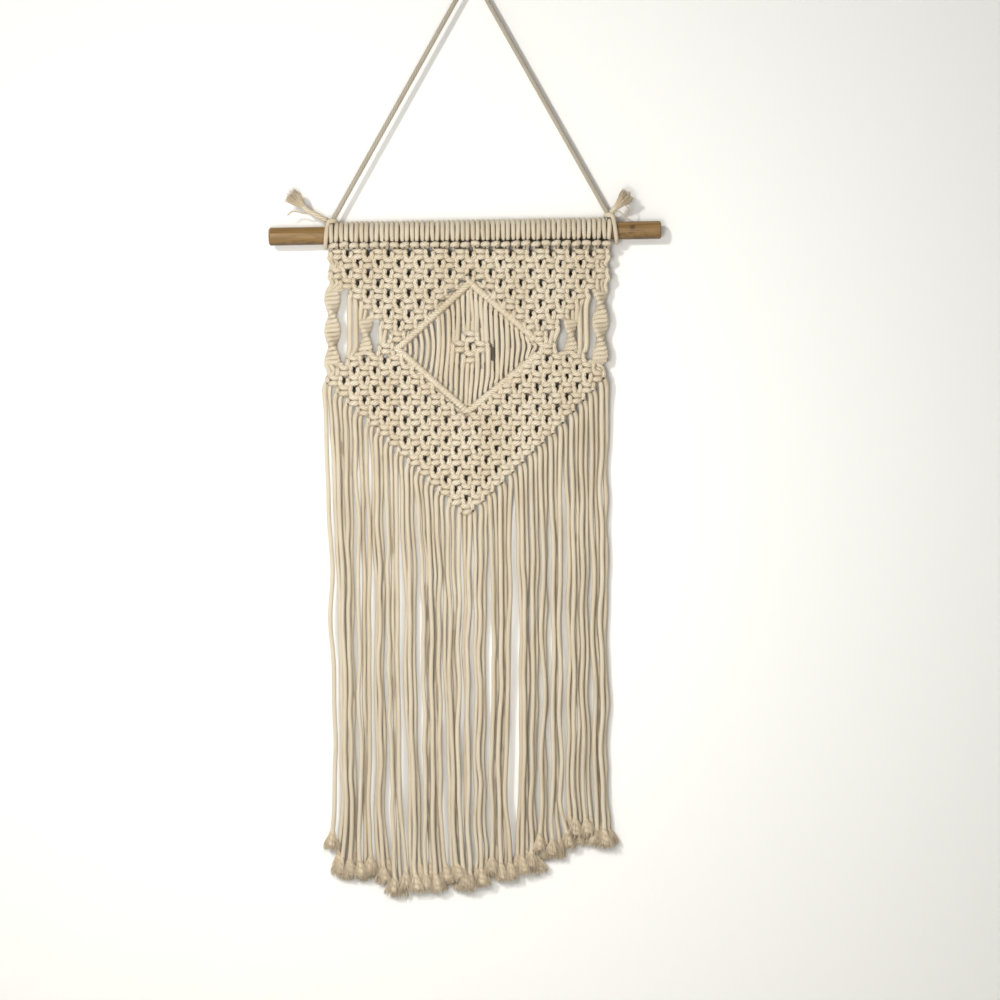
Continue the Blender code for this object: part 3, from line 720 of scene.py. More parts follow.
# %% Square knot
CORD_RADIUS = 1.95
KNOT_RADIUS = 1.75
KNOT_TILT, KNOT_SHIFT = 7, 0.2
STOP_SHIFT, STOP_DEPTH_SHIFT = 0.16, 0.14
UPPER_BAR = ((-4.0, 0.2, 3.3, 1.75), (-3.1, -1.4, 2.8, 1.8), (-1.7, -3.0, 2.3, 2.1),
             (0.1, -3.4, 2.05, 2.3), (1.8, -2.9, 2.0, 2.1), (3.2, -1.5, 1.8, 1.75))
WIDE_BEND = ((4.6, 0.5, 1.7, 1.7), (6.4, 3.5, 1.6, 1.8), (8.2, 4.5, 0.1, 1.95),
             (6.4, 3.5, -1.4, 1.8), (4.6, 0.5, -1.4, 1.7))
TIGHT_BEND = ((4.6, 0.5, 1.3, 1.7), (5.2, 1.3, 0.0, 1.75), (4.6, 0.5, -1.3, 1.7))
LOWER_BAR = ((3.2, -1.5, -1.9, 1.75), (1.8, -2.9, -2.2, 2.1), (0.1, -3.4, -2.35, 2.35),
             (-1.7, -3.0, -2.5, 2.1), (-3.1, -1.9, -2.6, 1.9), (-4.9, -2.5, -2.5, 1.95))
BACK_WORKER = ((4.6, -1.4, 3.3, 1.8), (5.0, -2.6, 2.3, 1.9), (4.9, -2.4, 1.0, 1.85),
               (3.7, -0.6, 0.5, 1.7), (2.0, 2.4, 1.1, 1.75), (0.0, 3.2, 1.6, 1.85),
               (-2.2, 3.4, 1.8, 1.75), (-4.3, 2.8, 1.8, 1.7), (-5.3, 1.0, 1.6, 1.8),
               (-5.2, -1.1, 1.0, 1.8), (-5.0, -2.6, 0.3, 1.9), (-5.0, -2.8, -0.7, 1.9),
               (-4.6, -1.0, -1.8, 1.7), (-3.9, 1.8, -2.2, 1.65), (-2.2, 3.0, -2.0, 1.75),
               (0.0, 3.2, -1.7, 1.85), (2.0, 2.4, -1.2, 1.75), (3.7, -0.6, -0.5, 1.7),
               (4.9, -2.4, -0.9, 1.85), (5.3, -3.0, -2.0, 2.0))
FILLER = ((1.75, -0.6, 3.1, 1.8), (1.5, 0.0, 0.0, 1.7), (1.75, -0.1, -3.0, 1.75))
PORTS_IN = ((-4.2, 0.3, 3.9), (-2.0, -2.5, 4.2), (2.0, -2.5, 4.2), (4.2, 0.3, 3.9))
PORTS_OUT = ((-6.0, -2.9, -3.1), (-2.1, 0.1, -4.0), (2.1, 0.1, -4.0), (6.1, -3.0, -3.1))


def knot_way(role, neighbour=False):
    """Stops of one role through a square knot, with a wide bend where a neighbour stands."""
    if role == 0:
        return UPPER_BAR + (WIDE_BEND if neighbour else TIGHT_BEND) + LOWER_BAR
    if role == 3:
        return BACK_WORKER
    return [(x * (-1 if role == 1 else 1), y, z, radius) for x, y, z, radius in FILLER]


print("stops through a knot:", [len(knot_way(role)) for role in range(4)])


# %% [markdown]
# A cord's whole way is built stop by stop by the class below. Where one knot's way out is close to
# the next one's way in, the cord takes the point half way between them.

# %% A cord's way
JOIN_GAP = 3.2


class Way:
    """Stops of one cord, each with its radius and the piece of the hanging it belongs to."""

    def __init__(self, piece):
        self.stops, self.pieces = [], []
        self.piece = piece
        self.port = None

    def stop(self, x, y, z, radius):
        """Add one stop."""
        self.stops.append((x, y, z, radius))
        self.pieces.append(self.piece)

    def leave(self, port):
        """Remember the way out of a knot."""
        self.port = port

    def arrive(self, port, radius=CORD_RADIUS):
        """Join the last way out to the next way in."""
        if self.port is not None:
            gap = math.dist(self.port, port)
            if gap < JOIN_GAP:
                port = tuple((a + b) / 2 for a, b in zip(self.port, port))
            else:
                self.stop(*self.port, radius)
            self.port = None
        self.stop(*port, radius)


ways = {}
print("ways start empty")


# %% Through a square knot
def knot_turn(column, row):
    """A function that moves a point of a knot to its place, turned as this knot was pulled."""
    x, z = knot_place(column, row)
    hand = random.Random(column * 100 + row)
    tilt = math.radians(hand.uniform(-KNOT_TILT, KNOT_TILT)) if row > 1 else 0.0
    x += hand.uniform(-KNOT_SHIFT, KNOT_SHIFT)
    z += hand.uniform(-KNOT_SHIFT, KNOT_SHIFT)
    return lambda dx, dy, dz: (x + dx * math.cos(tilt) - dz * math.sin(tilt), dy,
                               z + dx * math.sin(tilt) + dz * math.cos(tilt))


def pass_knot(way, column, row, role, chance):
    """Take a cord through the square knot at a column and row."""
    turned = knot_turn(column, row)
    if row > 1:
        way.arrive(turned(*PORTS_IN[role]))
    for dx, dy, dz, radius in knot_way(role, has_knot(column + 2, row)):
        way.stop(*turned(dx + chance.uniform(-STOP_SHIFT, STOP_SHIFT),
                         dy + chance.uniform(-STOP_DEPTH_SHIFT, STOP_DEPTH_SHIFT),
                         dz + chance.uniform(-STOP_SHIFT, STOP_SHIFT)), radius)
    way.leave(turned(*PORTS_OUT[role]))


print("the first knot stands at", [round(v, 1) for v in knot_turn(*KNOTS[0])(0, 0, 0)])

# %% [markdown]
# ## The header
# Each pair of cords is one long cord folded in half and mounted with a lark's head. The ends come
# over the dowel from behind, down its front and pass behind the short bar that the fold makes. The
# stops follow one half of the fold from the middle of the bar, back under the dowel, up behind it,
# over the top and down.

# %% Lark's heads on the dowel
HEADER_LEFT, HEADER_RIGHT = -110.7, 108.9
BAR_DROP = (7.9, 10.1)
WRAP = 9.0
WRAP_RADIUS = 1.84


def mount_cord(way, cord, chance):
    """One half of a lark's head, from the middle of its bar to the way down."""
    pitch = (HEADER_RIGHT - HEADER_LEFT) / CORDS
    x = HEADER_LEFT + (cord - 0.5) * pitch
    left = cord % 2 == 1
    inward = 1 if left else -1
    middle = x + inward * pitch / 2
    share = (x - HEADER_LEFT) / (HEADER_RIGHT - HEADER_LEFT)
    bar = -(BAR_DROP[0] + (BAR_DROP[1] - BAR_DROP[0]) * share)
    pair = random.Random((cord + 1) // 2)
    lift, slant = pair.uniform(-0.5, 0.5), pair.uniform(-0.2, 0.7) * inward
    axis = dowel_z(x)
    bar_z = axis + bar + lift
    nudge = chance.uniform(-0.25, 0.25)
    way.stop(middle + inward * 1.2, -9.55, bar_z + slant * 0.35, 2.0)
    way.stop(middle, -9.6, bar_z, 2.1)
    way.stop(x + inward * 0.55, -9.2, bar_z - slant * 0.6, 2.05)
    way.stop(x - inward * 0.4, -7.7, bar_z - slant, 1.8)
    way.stop(x - inward * 0.2, -5.6, bar_z - slant - 0.1, 1.65)
    way.stop(x, -3.0, axis - 9.9, WRAP_RADIUS)
    way.stop(x, 0.4, axis - WRAP, WRAP_RADIUS)
    for degrees in (135, 90, 45, 0, -45, -80):
        angle = math.radians(degrees)
        way.stop(x + nudge * math.cos(angle / 2), WRAP * math.sin(angle),
                 axis + WRAP * math.cos(angle), WRAP_RADIUS)
    way.stop(x + inward * 0.2, -8.3, axis - 3.8, 1.75)
    way.stop(x + inward * 0.5, -5.6, axis - 7.4, 1.65)
    way.stop(x + inward * 0.7, -1.8, axis + bar - 2.4, 1.7)


for cord in range(1, CORDS + 1):
    ways[cord] = Way("header")
    mount_cord(ways[cord], cord, random.Random(cord))
print("mounted cords:", len(ways))

# %% [markdown]
# ## Spirals beside the windows
# A half knot tied again and again in the same direction turns into a spiral. The two working
# cords wind round the two fillers as a flat coil, half a turn apart, and the coil slowly turns as
# it goes down. Where its flat side faces the front the spiral looks wide, and where it stands edge
# on it has a neck.

# %% Half-knot spirals
def spiral_way(way, role, shape, wide, flat, radius, chance):
    """One of four cords through a spiral of half knots, wide across its bars and flat through."""
    middle, top, bottom, first, turn, ridge = shape
    if role in (1, 2):
        shift = (-0.34 if role == 1 else 0.34) * wide
        for height in np.linspace(top, bottom, 9):
            angle = math.radians(first + turn * (top - height))
            way.stop(middle + shift * math.cos(angle), shift * math.sin(angle), height, radius)
        return
    half_knots = round((top - bottom) / ridge)
    for step in range(half_knots * 4 + 1):
        round_angle = math.pi * (step / 4 + (role == 0))
        height = top - ridge * (step / 4 + math.sin(step * math.pi / 2) * 0.5 / math.pi)
        angle = math.radians(first + turn * (top - height))
        own = -round_angle - angle
        x, y = wide * math.cos(own), flat * math.sin(own)
        way.stop(middle + x * math.cos(angle) - y * math.sin(angle) + chance.uniform(-0.12, 0.12),
                 x * math.sin(angle) + y * math.cos(angle),
                 height + chance.uniform(-0.15, 0.15), radius + chance.uniform(-0.05, 0.08))


# half a spiral's width, half its thickness and the radius of its cords
LONG_SPIRAL_SIZE, SHORT_SPIRAL_SIZE = (5.0, 1.7, 1.85), (4.2, 1.5, 1.8)
# middle x, top and bottom z, first turn in degrees, turn per mm, height of a half knot
LONG_SPIRALS = {"left": (-108.1, -238.0, -293.5, -43.4, 7.35, 3.55),
                "right": (100.3, -238.0, -292.5, 25.0, 6.6, 3.55)}
SHORT_SPIRALS = {"left": (-82.1, -260.0, -284.0, -5.0, 7.7, 3.4),
                 "right": (77.4, -260.0, -283.5, -5.0, 7.7, 3.4)}
print("spirals:", 2 * len(LONG_SPIRALS))

# %% [markdown]
# ## The diamond
# Two cords of the middle become leaders and run along the four sides of the diamond, a little in
# front of the field. Each side is a straight line between two corners, and a place on it is a share
# of its length.

# %% The sides of the diamond
BARS = {"upper_left": ((-2.5, -232.4), (-56.2, -281.2)),
        "upper_right": ((0.4, -232.4), (55.6, -280.0)),
        "lower_left": ((-55.6, -284.3), (-4.0, -330.7)),
        "lower_right": ((54.8, -284.6), (-3.0, -331.6))}
DIAMOND_CORNERS = {"left": (-58.4, -282.7), "right": (57.4, -282.3)}
BAR_DEPTH = -1.6


def bar_point(bar, share):
    """Point along a bar with its direction and the normal that points up."""
    start, end = (Vector(point) for point in BARS[bar])
    along = (end - start).normalized()
    up = Vector((-along.y, along.x))
    if up.y < 0:
        up = -up
    return start.lerp(end, share), along, up


print("sides:", {bar: round(math.dist(*ends), 1) for bar, ends in BARS.items()}, "mm")

# %% [markdown]
# All cords that meet a leader are tied round it with a double half hitch: two tight turns that
# pass over the leader in front. The turns could be one modelled coil copied along the bar, but each
# has to grow out of the cord above it and into the cord below. So the same cord makes them, as a
# spring of seventeen stops. The leader inside is thin where the turns hide it and full where it
# shows at the corners.

# %% Double half hitches
LEADERS = (28, 29)
LEADER_HIDDEN, LEADER_BARE = 1.5, 2.5
HITCHES = 13
HITCH_SHARES = {"upper_left": (0.0, 0.0766), "upper_right": (-0.014, 0.0722),
                "lower_left": (0.070, 0.0765), "lower_right": (0.126, 0.0699)}
TURN_RADIUS = 1.1
TURN_CORD = 2.0
TURN_STOPS, STOPS_IN_A_TURN, MIDDLE_STOP = 17, 7.2, 9.6


def hitch_way(way, bar, number):
    """A double half hitch round the leader, as the number-th of a bar."""
    first, share = HITCH_SHARES[bar]
    middle, along, up = bar_point(bar, first + share * number)
    start, end = (Vector(point) for point in BARS[bar])
    pitch = (end - start).length * share / 2
    sideways = along.x * 0.4
    way.arrive((middle.x + sideways, 0.9, middle.y + 4.4), KNOT_RADIUS)
    for step in range(1, TURN_STOPS + 1):
        angle = math.radians(-10 + 50 * step)
        out = TURN_RADIUS * math.cos(angle)
        place = middle + along * pitch * (step - MIDDLE_STOP) / STOPS_IN_A_TURN + up * out
        way.stop(place.x, BAR_DEPTH + TURN_RADIUS * math.sin(angle), place.y, TURN_CORD)
    way.leave((middle.x - 0.3, 1.2, middle.y - 4.3))


def leader_way(way, side):
    """The leader along both bars of one side."""
    for half, near_corner in (("upper", 0.97), ("lower", 0.02)):
        for share in (0.02, 0.2, 0.4, 0.6, 0.8, 0.97):
            place, _, _ = bar_point(f"{half}_{side}", share)
            way.stop(place.x, BAR_DEPTH, place.y,
                     LEADER_BARE if share == near_corner else LEADER_HIDDEN)
        if half == "upper":
            x, z = DIAMOND_CORNERS[side]
            way.stop(x, BAR_DEPTH, z, LEADER_BARE)


print("hitches on a side:", HITCHES)

# %% [markdown]
# Between an upper and a lower side the hitched cords hang as ribs, which bulge outwards round the
# middle. Each is led through up to three places, and every second one hangs a little further back,
# so that cords that touch don't cut into each other.

# %% Ribs
RIB_X = {  # x of each rib above the flower, beside it and below it
    15: (None, -51.8, None), 16: (None, -47.6, None), 17: (None, -43.0, None),
    18: (None, -38.4, None), 19: (None, -33.6, None), 20: (None, -29.4, None),
    21: (-26.2, -25.4, None), 22: (-22.4, -22.0, -23.9), 23: (-17.9, -17.6, -19.8),
    24: (-14.1, None, -15.9), 25: (-10.2, None, -11.7), 26: (-6.6, None, -7.4),
    27: (-2.4, None, -3.4), 30: (0.9, None, 0.3), 31: (4.2, None, 4.4), 32: (7.6, None, 8.4),
    33: (11.0, None, 12.7), 34: (15.0, 15.9, 16.3), 35: (19.0, 19.8, 20.3),
    36: (23.2, 24.2, None), 37: (27.4, 28.2, None), 38: (None, 32.1, None),
    39: (None, 36.5, None), 40: (None, 40.9, None), 41: (None, 45.4, None),
    42: (None, 50.0, None),
}
RIB_HEIGHTS = (-256.2, -280.4, -303.0)
RIB_RADIUS = 1.93
RIB_DEPTHS = (1.5, 0.5)


def rib_way(way, cord):
    """A hitched cord as it hangs inside the diamond, some of them through the flower."""
    depth = RIB_DEPTHS[cord % 2]
    high, level, low = RIB_X[cord]
    if high is not None:
        way.arrive((high, depth, RIB_HEIGHTS[0]), RIB_RADIUS)
    if level is not None:
        way.arrive((level, depth, RIB_HEIGHTS[1]), RIB_RADIUS)
    else:
        for stop in flower_stops(cord):
            way.stop(*stop)
    if low is not None:
        way.arrive((low, depth, RIB_HEIGHTS[2]), RIB_RADIUS)
    way.port = None


print("ribs:", len(RIB_X))

# %% [markdown]
# In the middle of the diamond the eight middle cords are bound by four square knots round a hole,
# like a small flower. The knots are the ones of the field, a little larger and pushed forward.

# %% The flower
FLOWER = (-1.1, -280.7)
FLOWER_KNOTS = {"top": (0.3, 7.7), "left": (-7.9, 0.0), "right": (8.3, -0.3), "bottom": (0.3, -8.2)}
FLOWER_WIDE, FLOWER_TALL, FLOWER_THICK = 1.08, 1.1, 1.06
FLOWER_FORWARD = 0.6


def flower_stops(cord):
    """Stops of one of the eight middle cords through the knots of the flower."""
    middle_four = {26: 0, 27: 1, 30: 2, 31: 3}
    passes = [("left", cord - 24) if cord < 28 else ("right", cord - 30)]
    if cord in middle_four:
        role = middle_four[cord]
        passes = [("top", role), *passes, ("bottom", role)]
    rows = []
    for name, role in passes:
        x = FLOWER[0] + FLOWER_KNOTS[name][0]
        z = FLOWER[1] + FLOWER_KNOTS[name][1]
        for dx, dy, dz, radius in knot_way(role, name == "left"):
            rows.append((x + dx * FLOWER_WIDE, dy - FLOWER_FORWARD, z + dz * FLOWER_TALL,
                         radius * FLOWER_THICK))
    return rows


print("knots in the flower:", len(FLOWER_KNOTS))


# %% Through the diamond
def diamond_way(way, cord):
    """A cord from the last knot above the diamond to the first below it."""
    side = "left" if cord <= LEADERS[0] else "right"
    before = way.piece
    way.piece = "diamond"
    if cord in LEADERS:
        way.port = None
        leader_way(way, side)
    else:
        number = LEADERS[0] - cord - 1 if side == "left" else cord - LEADERS[1] - 1
        hitch_way(way, f"upper_{side}", number)
        rib_way(way, cord)
        hitch_way(way, f"lower_{side}", HITCHES - 1 - number)
    way.piece = before


print("cords through the diamond:", len(LEADERS) + 2 * HITCHES)

# %% [markdown]
# ## Tying the panel
# Now each cord goes down row by row. Where its row has a knot it passes through it. Where there is
# none it runs on, turns into a spiral or goes to the diamond. Two cords on each side hang straight
# down through the windows, and the edge cords pass beside the first knot of a row.

# %% Cords beside the knots
STRAIGHT_X = {5: -94.7, 6: -90.0, 51: 84.4, 52: 89.3}
STRAIGHT_HEIGHTS, STRAIGHT_DEPTH, STRAIGHT_RADIUS = (-250.0, -266.0, -281.0), -0.6, 2.15
LOW_PIECE_ROW = 11
LONG_SPIRAL_ROW, SHORT_SPIRAL_ROW, STRAIGHT_ROW, DIAMOND_ROW = 5, 7, 8, 4
LONG_SPIRAL_FIRST = {"left": 1, "right": 53}
SHORT_SPIRAL_FIRST = {"left": 7, "right": 47}
DIAMOND_FROM_EDGE = 15
BESIDE_ROWS = (1, 2, 3, 4, 12)
BESIDE_OUT = {1: 3.8, 2: 0.1}


def edge_stop(from_edge, row, outward):
    """Place of an edge cord where it passes beside the first knot of its row."""
    column = 1 if outward < 0 else COLUMNS - 1
    x, z = knot_place(column, row)
    return x + outward * BESIDE_OUT[from_edge], 0.0, z


print("straight cords:", sorted(STRAIGHT_X))


# %% Every cord through every row
def tie_cord(cord):
    """Take one cord from the header to the lower edge of the panel."""
    way = ways[cord]
    chance = random.Random(1000 + cord)
    from_edge = min(cord, CORDS + 1 - cord)
    side = "left" if cord <= CORDS // 2 else "right"
    diamond_done = spiral_done = False
    way.piece = "field_top"
    last_row = 0
    for row in range(1, ROWS + 1):
        if row == LOW_PIECE_ROW:
            way.piece = "field_low"
        column, role = knot_of(cord, row)
        if has_knot(column, row):
            pass_knot(way, column, row, role, chance)
            last_row = row
            continue
        place = cord - LONG_SPIRAL_FIRST[side]
        if place in range(4) and row >= LONG_SPIRAL_ROW and not spiral_done:
            way.port = None
            spiral_way(way, place, LONG_SPIRALS[side], *LONG_SPIRAL_SIZE, chance)
            spiral_done = True
        place = cord - SHORT_SPIRAL_FIRST[side]
        next_column, _ = knot_of(cord, row + 1)
        if (place in range(4) and row >= SHORT_SPIRAL_ROW and not spiral_done
                and not has_knot(next_column, row + 1)):
            spiral_way(way, place, SHORT_SPIRALS[side], *SHORT_SPIRAL_SIZE, chance)
            spiral_done = True
            way.port = None
        outward = -1 if side == "left" else 1
        if from_edge in BESIDE_OUT and row in BESIDE_ROWS:
            way.arrive(edge_stop(from_edge, row, outward))
        if cord in STRAIGHT_X and row == STRAIGHT_ROW:
            for height in STRAIGHT_HEIGHTS:
                way.arrive((STRAIGHT_X[cord], STRAIGHT_DEPTH, height), STRAIGHT_RADIUS)
        if from_edge >= DIAMOND_FROM_EDGE and row >= DIAMOND_ROW and not diamond_done:
            diamond_way(way, cord)
            diamond_done = True
    return last_row


last_rows = {cord: tie_cord(cord) for cord in ways}
print("last knot of cords 1, 14, 28:", [last_rows[cord] for cord in (1, 14, 28)])

# %% [markdown]
# ## The fringe
# Below its last knot each cord hangs free. The cords come out of the slanting edge, turn down and
# gather in loose bunches that get clearer towards the ends. A simulation could drop them, but it
# wouldn't part them where these are parted. The table gives each bunch its number of cords, the
# span it covers half way down, low down and at its ends, and where it ends.

# %% Where the fringe hangs
SPREAD_Z, MIDDLE_Z, LOW_Z = -425.0, -515.0, -634.0
BUNCHES = (
    (1, (-109.6, -106.2), (-107.1, -103.7), (-112.4, -107.0), -672.5),
    (5, (-103.1, -91.3), (-101.5, -89.1), (-106.5, -90.0), -696.6),
    (3, (-89.0, -77.4), (-88.0, -78.2), (-89.0, -76.0), -696.6),
    (3, (-75.4, -67.5), (-75.4, -67.1), (-73.0, -63.0), -699.3),
    (3, (-66.3, -55.9), (-63.1, -54.1), (-61.0, -48.0), -709.8),
    (3, (-52.7, -43.2), (-49.6, -40.8), (-48.5, -38.0), -706.0),
    (5, (-38.5, -23.0), (-38.0, -23.0), (-37.0, -17.5), -706.0),
    (4, (-22.2, -8.4), (-18.3, -8.4), (-16.0, -3.5), -705.0),
    (2, (-6.3, -1.2), (-5.9, -1.2), (-5.5, 1.0), -704.4),
    (3, (1.9, 10.9), (1.4, 10.9), (1.9, 14.0), -701.3),
    (5, (15.9, 30.7), (13.6, 27.9), (14.4, 33.0), -697.4),
    (3, (37.4, 45.2), (36.6, 44.4), (33.5, 45.0), -692.0),
    (2, (46.3, 52.5), (45.0, 50.0), (45.0, 53.0), -692.0),
    (2, (54.1, 59.0), (53.3, 58.5), (50.5, 60.5), -681.0),
    (3, (62.4, 70.3), (61.0, 71.2), (61.5, 78.5), -679.5),
    (5, (74.8, 91.4), (73.1, 92.6), (77.0, 96.5), -669.4),
    (4, (93.4, 105.8), (95.1, 106.2), (96.5, 109.0), -671.0),
)
STRAND = 3.4
STRAND_RADIUS = 1.78
POINT_CORDS = (27, 30)
FRONT_LAYER, BACK_LAYER, SET_BACK = -2.1, 2.2, 2.6
TUFT = 14.0
TUFT_WIDTH, TUFT_FIBRES = (5.0, 7.4), 90


def fringe_table():
    """For each cord: x half way down, x low down, x at its end, and the height of its end."""
    rows = []
    chance = random.Random(77)
    for bunch, (count, middle, low, ends, end_z) in enumerate(BUNCHES):
        for number in range(count):
            part = number / (count - 1) if count > 1 else 0.5
            xs = [span[0] + STRAND / 2 + (span[1] - span[0] - STRAND) * part
                  for span in (middle, low, ends)]
            short = 0.0 if number == count // 2 else chance.uniform(0.5, 9.0)
            rows.append((*xs, end_z + short, bunch))
    return rows


fringe_places = fringe_table()
print("strands:", len(fringe_places))


# %% Hanging strands
def hang_cord(cord):
    """Add the free end of a cord to its way, from its last knot down to the top of its tuft."""
    way = ways[cord]
    chance = random.Random(500 + cord)
    way.piece = "fringe_left" if cord <= CORDS // 2 else "fringe_right"
    x, y, z = way.port
    middle_x, low_x, end_x, end_z, bunch = fringe_places[cord - 1]
    shared = random.Random(bunch)
    layer = BACK_LAYER if cord % 2 == 0 else FRONT_LAYER
    heading = -1 if cord < POINT_CORDS[0] else 1 if cord > POINT_CORDS[1] else 0
    way.stop(x, y * 0.75, z, CORD_RADIUS)
    way.stop(x + heading * 0.9, y * 0.35 + layer * 0.3, z - 2.6, CORD_RADIUS)
    way.stop(x + heading * 1.2, y * 0.1 + layer * 0.6, z - 7.0, CORD_RADIUS)
    root_x = x + heading * 1.0
    early = 0.65 * min(1.0, max(0.0, (z - SPREAD_Z) / 60.0))
    levels = sorted([(z, root_x), (SPREAD_Z, root_x + (middle_x - root_x) * early),
                     (MIDDLE_Z, middle_x), (LOW_Z, low_x), (end_z, end_x)])
    heights, xs = zip(*levels)
    waves = [(chance.uniform(0.12, 0.50), chance.uniform(38, 120), chance.uniform(0, 6.28))
             for _ in range(3)]
    waves += [(shared.uniform(0.2, 0.55), shared.uniform(60, 160), shared.uniform(0, 6.28))
              for _ in range(2)]
    at = z - 20.0
    tuft_top = end_z + TUFT
    while at > tuft_top + 6:
        fade = min(1.0, (z - at) / 60.0)
        sway = sum(size * math.sin(math.tau * at / length + start)
                   for size, length, start in waves)
        deep = layer + fade * (SET_BACK + 0.5 * math.sin(at / 23.0 + waves[0][2]))
        way.stop(np.interp(at, heights, xs) + sway * fade, deep, at, STRAND_RADIUS)
        at -= chance.uniform(11, 17)
    way.stop(np.interp(tuft_top, heights, xs), layer + SET_BACK, tuft_top, CORD_RADIUS)


for cord in ways:
    hang_cord(cord)
print("stops in cord 28:", len(ways[28].stops))

# %% [markdown]
# ## Laying the cords
# With every way known, the cords are laid. One cord runs through several pieces of the hanging, so
# its line is cut where the piece changes. The two halves share one section and meet without a gap.

# %% Lay all cords
PIECES = {"header": ("header_cords", "header", 1.4),
          "field_top": ("panel_top_cords", "panel", 1.15),
          "diamond": ("diamond_cords", "panel", 1.3),
          "field_low": ("panel_low_cords", "panel", 1.25),
          "fringe_left": ("fringe_left_cords", "fringe", 4.0),
          "fringe_right": ("fringe_right_cords", "fringe", 4.0)}


def cut_line(way):
    """The smooth line of a way, cut into (piece, line) runs."""
    ends = with_ends(way.stops)
    runs, rows, current = [], [], way.pieces[0]
    for number, piece in enumerate(way.pieces[1:]):
        a, b, c, d = ends[number:number + 4]
        if piece != current:
            rows.append(b)
            runs.append((current, np.array(rows)))
            rows, current = [], piece
        rows += span_points(a, b, c, d, PIECES[piece][2])
    rows.append(ends[-2])
    runs.append((current, np.array(rows)))
    return runs


cord_runs = {piece: [] for piece in PIECES}
for way in ways.values():
    for piece, line in cut_line(way):
        cord_runs[piece].append(line)
for piece, (name, node, _) in PIECES.items():
    belongs(lay_cords(name, cord_runs[piece], cotton_cord), node)

# %% [markdown]
# ## Frayed ends
# Every cord ends in a brush of loose yarn. The twist opens over the last centimetre, and the
# fibres fan out and curl a little. Hair would do this too, but it isn't a mesh that can be kept. So
# a brush is a short flaring core with ninety fibres round it, each one a thin spline of four sides.


# %% Fibres of one tuft
def tuft_lines(start, direction, length, width, count, chance):
    """Flaring fibres from the end of a cord."""
    direction = direction.normalized()
    across = direction.cross(Vector((0, 1, 0)))
    if across.length < 0.1:
        across = Vector((1, 0, 0))
    across.normalize()
    deep = direction.cross(across).normalized()
    lines = []
    for number in range(count):
        angle = chance.uniform(0, math.tau)
        reach = chance.random() ** 0.35
        out = across * math.cos(angle) + deep * math.sin(angle) * 0.75
        curl = across * chance.uniform(-1, 1) + deep * chance.uniform(-1, 1)
        run = length * chance.uniform(0.82, 1.08) * (1.08 - 0.16 * reach)
        rows = []
        for step in range(6):
            part = step / 5
            spread = reach * (1.8 + (width - 1.8) * math.sin(part * math.pi / 2) ** 1.4)
            wave = 0.35 * math.sin(part * 7 + angle * 3)
            place = (start + direction * run * part + out * (spread + wave * part)
                     + curl * part ** 2)
            rows.append((*place, 0.42 - 0.2 * part))
        lines.append(np.array(rows))
    core = [(*(start + direction * length * part), radius) for part, radius in
            ((-0.1, 2.0), (0.15, 2.1), (0.4, 1.5 + width * 0.28), (0.65, 1.2 + width * 0.42),
             (0.82, 0.9 + width * 0.36), (0.88, 0.3 + width * 0.1))]
    return lines, np.array(core)


print("fibres in a tuft of the fringe:", TUFT_FIBRES)


# %% Tufts of the fringe
def make_tufts(name, cords):
    """The brushes of some cords, as one piece of fibres and one of cores."""
    fibres, cores = [], []
    for cord in cords:
        chance = random.Random(900 + cord)
        line = np.array(ways[cord].stops[-3:])
        start = Vector(line[-1][:3])
        direction = (start - Vector(line[0][:3])).normalized()
        direction += Vector((chance.uniform(-0.2, 0.2), chance.uniform(-0.12, 0.12), 0))
        lines, core = tuft_lines(start, direction, TUFT, chance.uniform(*TUFT_WIDTH), TUFT_FIBRES,
                                 chance)
        fibres += lines
        cores.append(core)
    belongs(lay_cords(name + "_fibres", fibres, frayed_cotton, sides=4), "fringe")
    belongs(lay_cords(name + "_cores", cores, frayed_cotton, capped=True), "fringe")


make_tufts("tufts_left", range(1, CORDS // 2 + 1))
make_tufts("tufts_right", range(CORDS // 2 + 1, CORDS + 1))

# %% [markdown]
# ## The hitches
# The hanger is tied to the dowel outside the header with one turn and a half hitch. Its short
# end sticks up and outwards and is frayed like the fringe, with a few loose yarns beside it. A ring
# round the dowel would look like a turn from the front, but the cord would stop there. One way
# through turn, half hitch and short end keeps the twist unbroken.

# %% The way of a hitch
HITCH_TURN = {"hitch_left": (-111.6, -113.3), "hitch_right": (110.2, 112.9)}
HITCH_RISE = {"hitch_left": 10.6, "hitch_right": 11.6}
HITCH_WRAP, HITCH_CORD, TAIL_RADIUS = 9.3, 1.75, 2.15
TAIL_TUFT, TAIL_WIDTH, TAIL_FIBRES = 14.5, 5.8, 120
WISP_RADIUS = 0.5
TAILS = {
    "hitch_left": ((-113.6, -2.8, -182.4), (-118.0, -4.6, -180.2), (-124.1, -5.3, -176.9),
                   (-128.0, -5.0, -174.6), (-130.4, -4.8, -172.4)),
    "hitch_right": ((108.8, -3.4, -177.0), (110.3, -4.6, -174.9), (112.3, -5.0, -172.9)),
}
WISPS = {
    "hitch_left": (((-126.5, -5.8, -177.0), (-130.3, -5.2, -177.7), (-134.2, -5.0, -176.5),
                    (-138.9, -5.0, -176.2), (-142.8, -5.0, -179.2)),),
    "hitch_right": (((109.6, -6.4, -176.0), (115.2, -6.2, -176.5), (117.3, -6.0, -178.4),
                     (123.2, -5.0, -183.4)),
                    ((117.5, -6.2, -169.6), (119.7, -6.2, -171.5), (121.9, -6.2, -174.2),
                     (121.0, -6.2, -177.7), (119.6, -6.2, -179.6))),
}


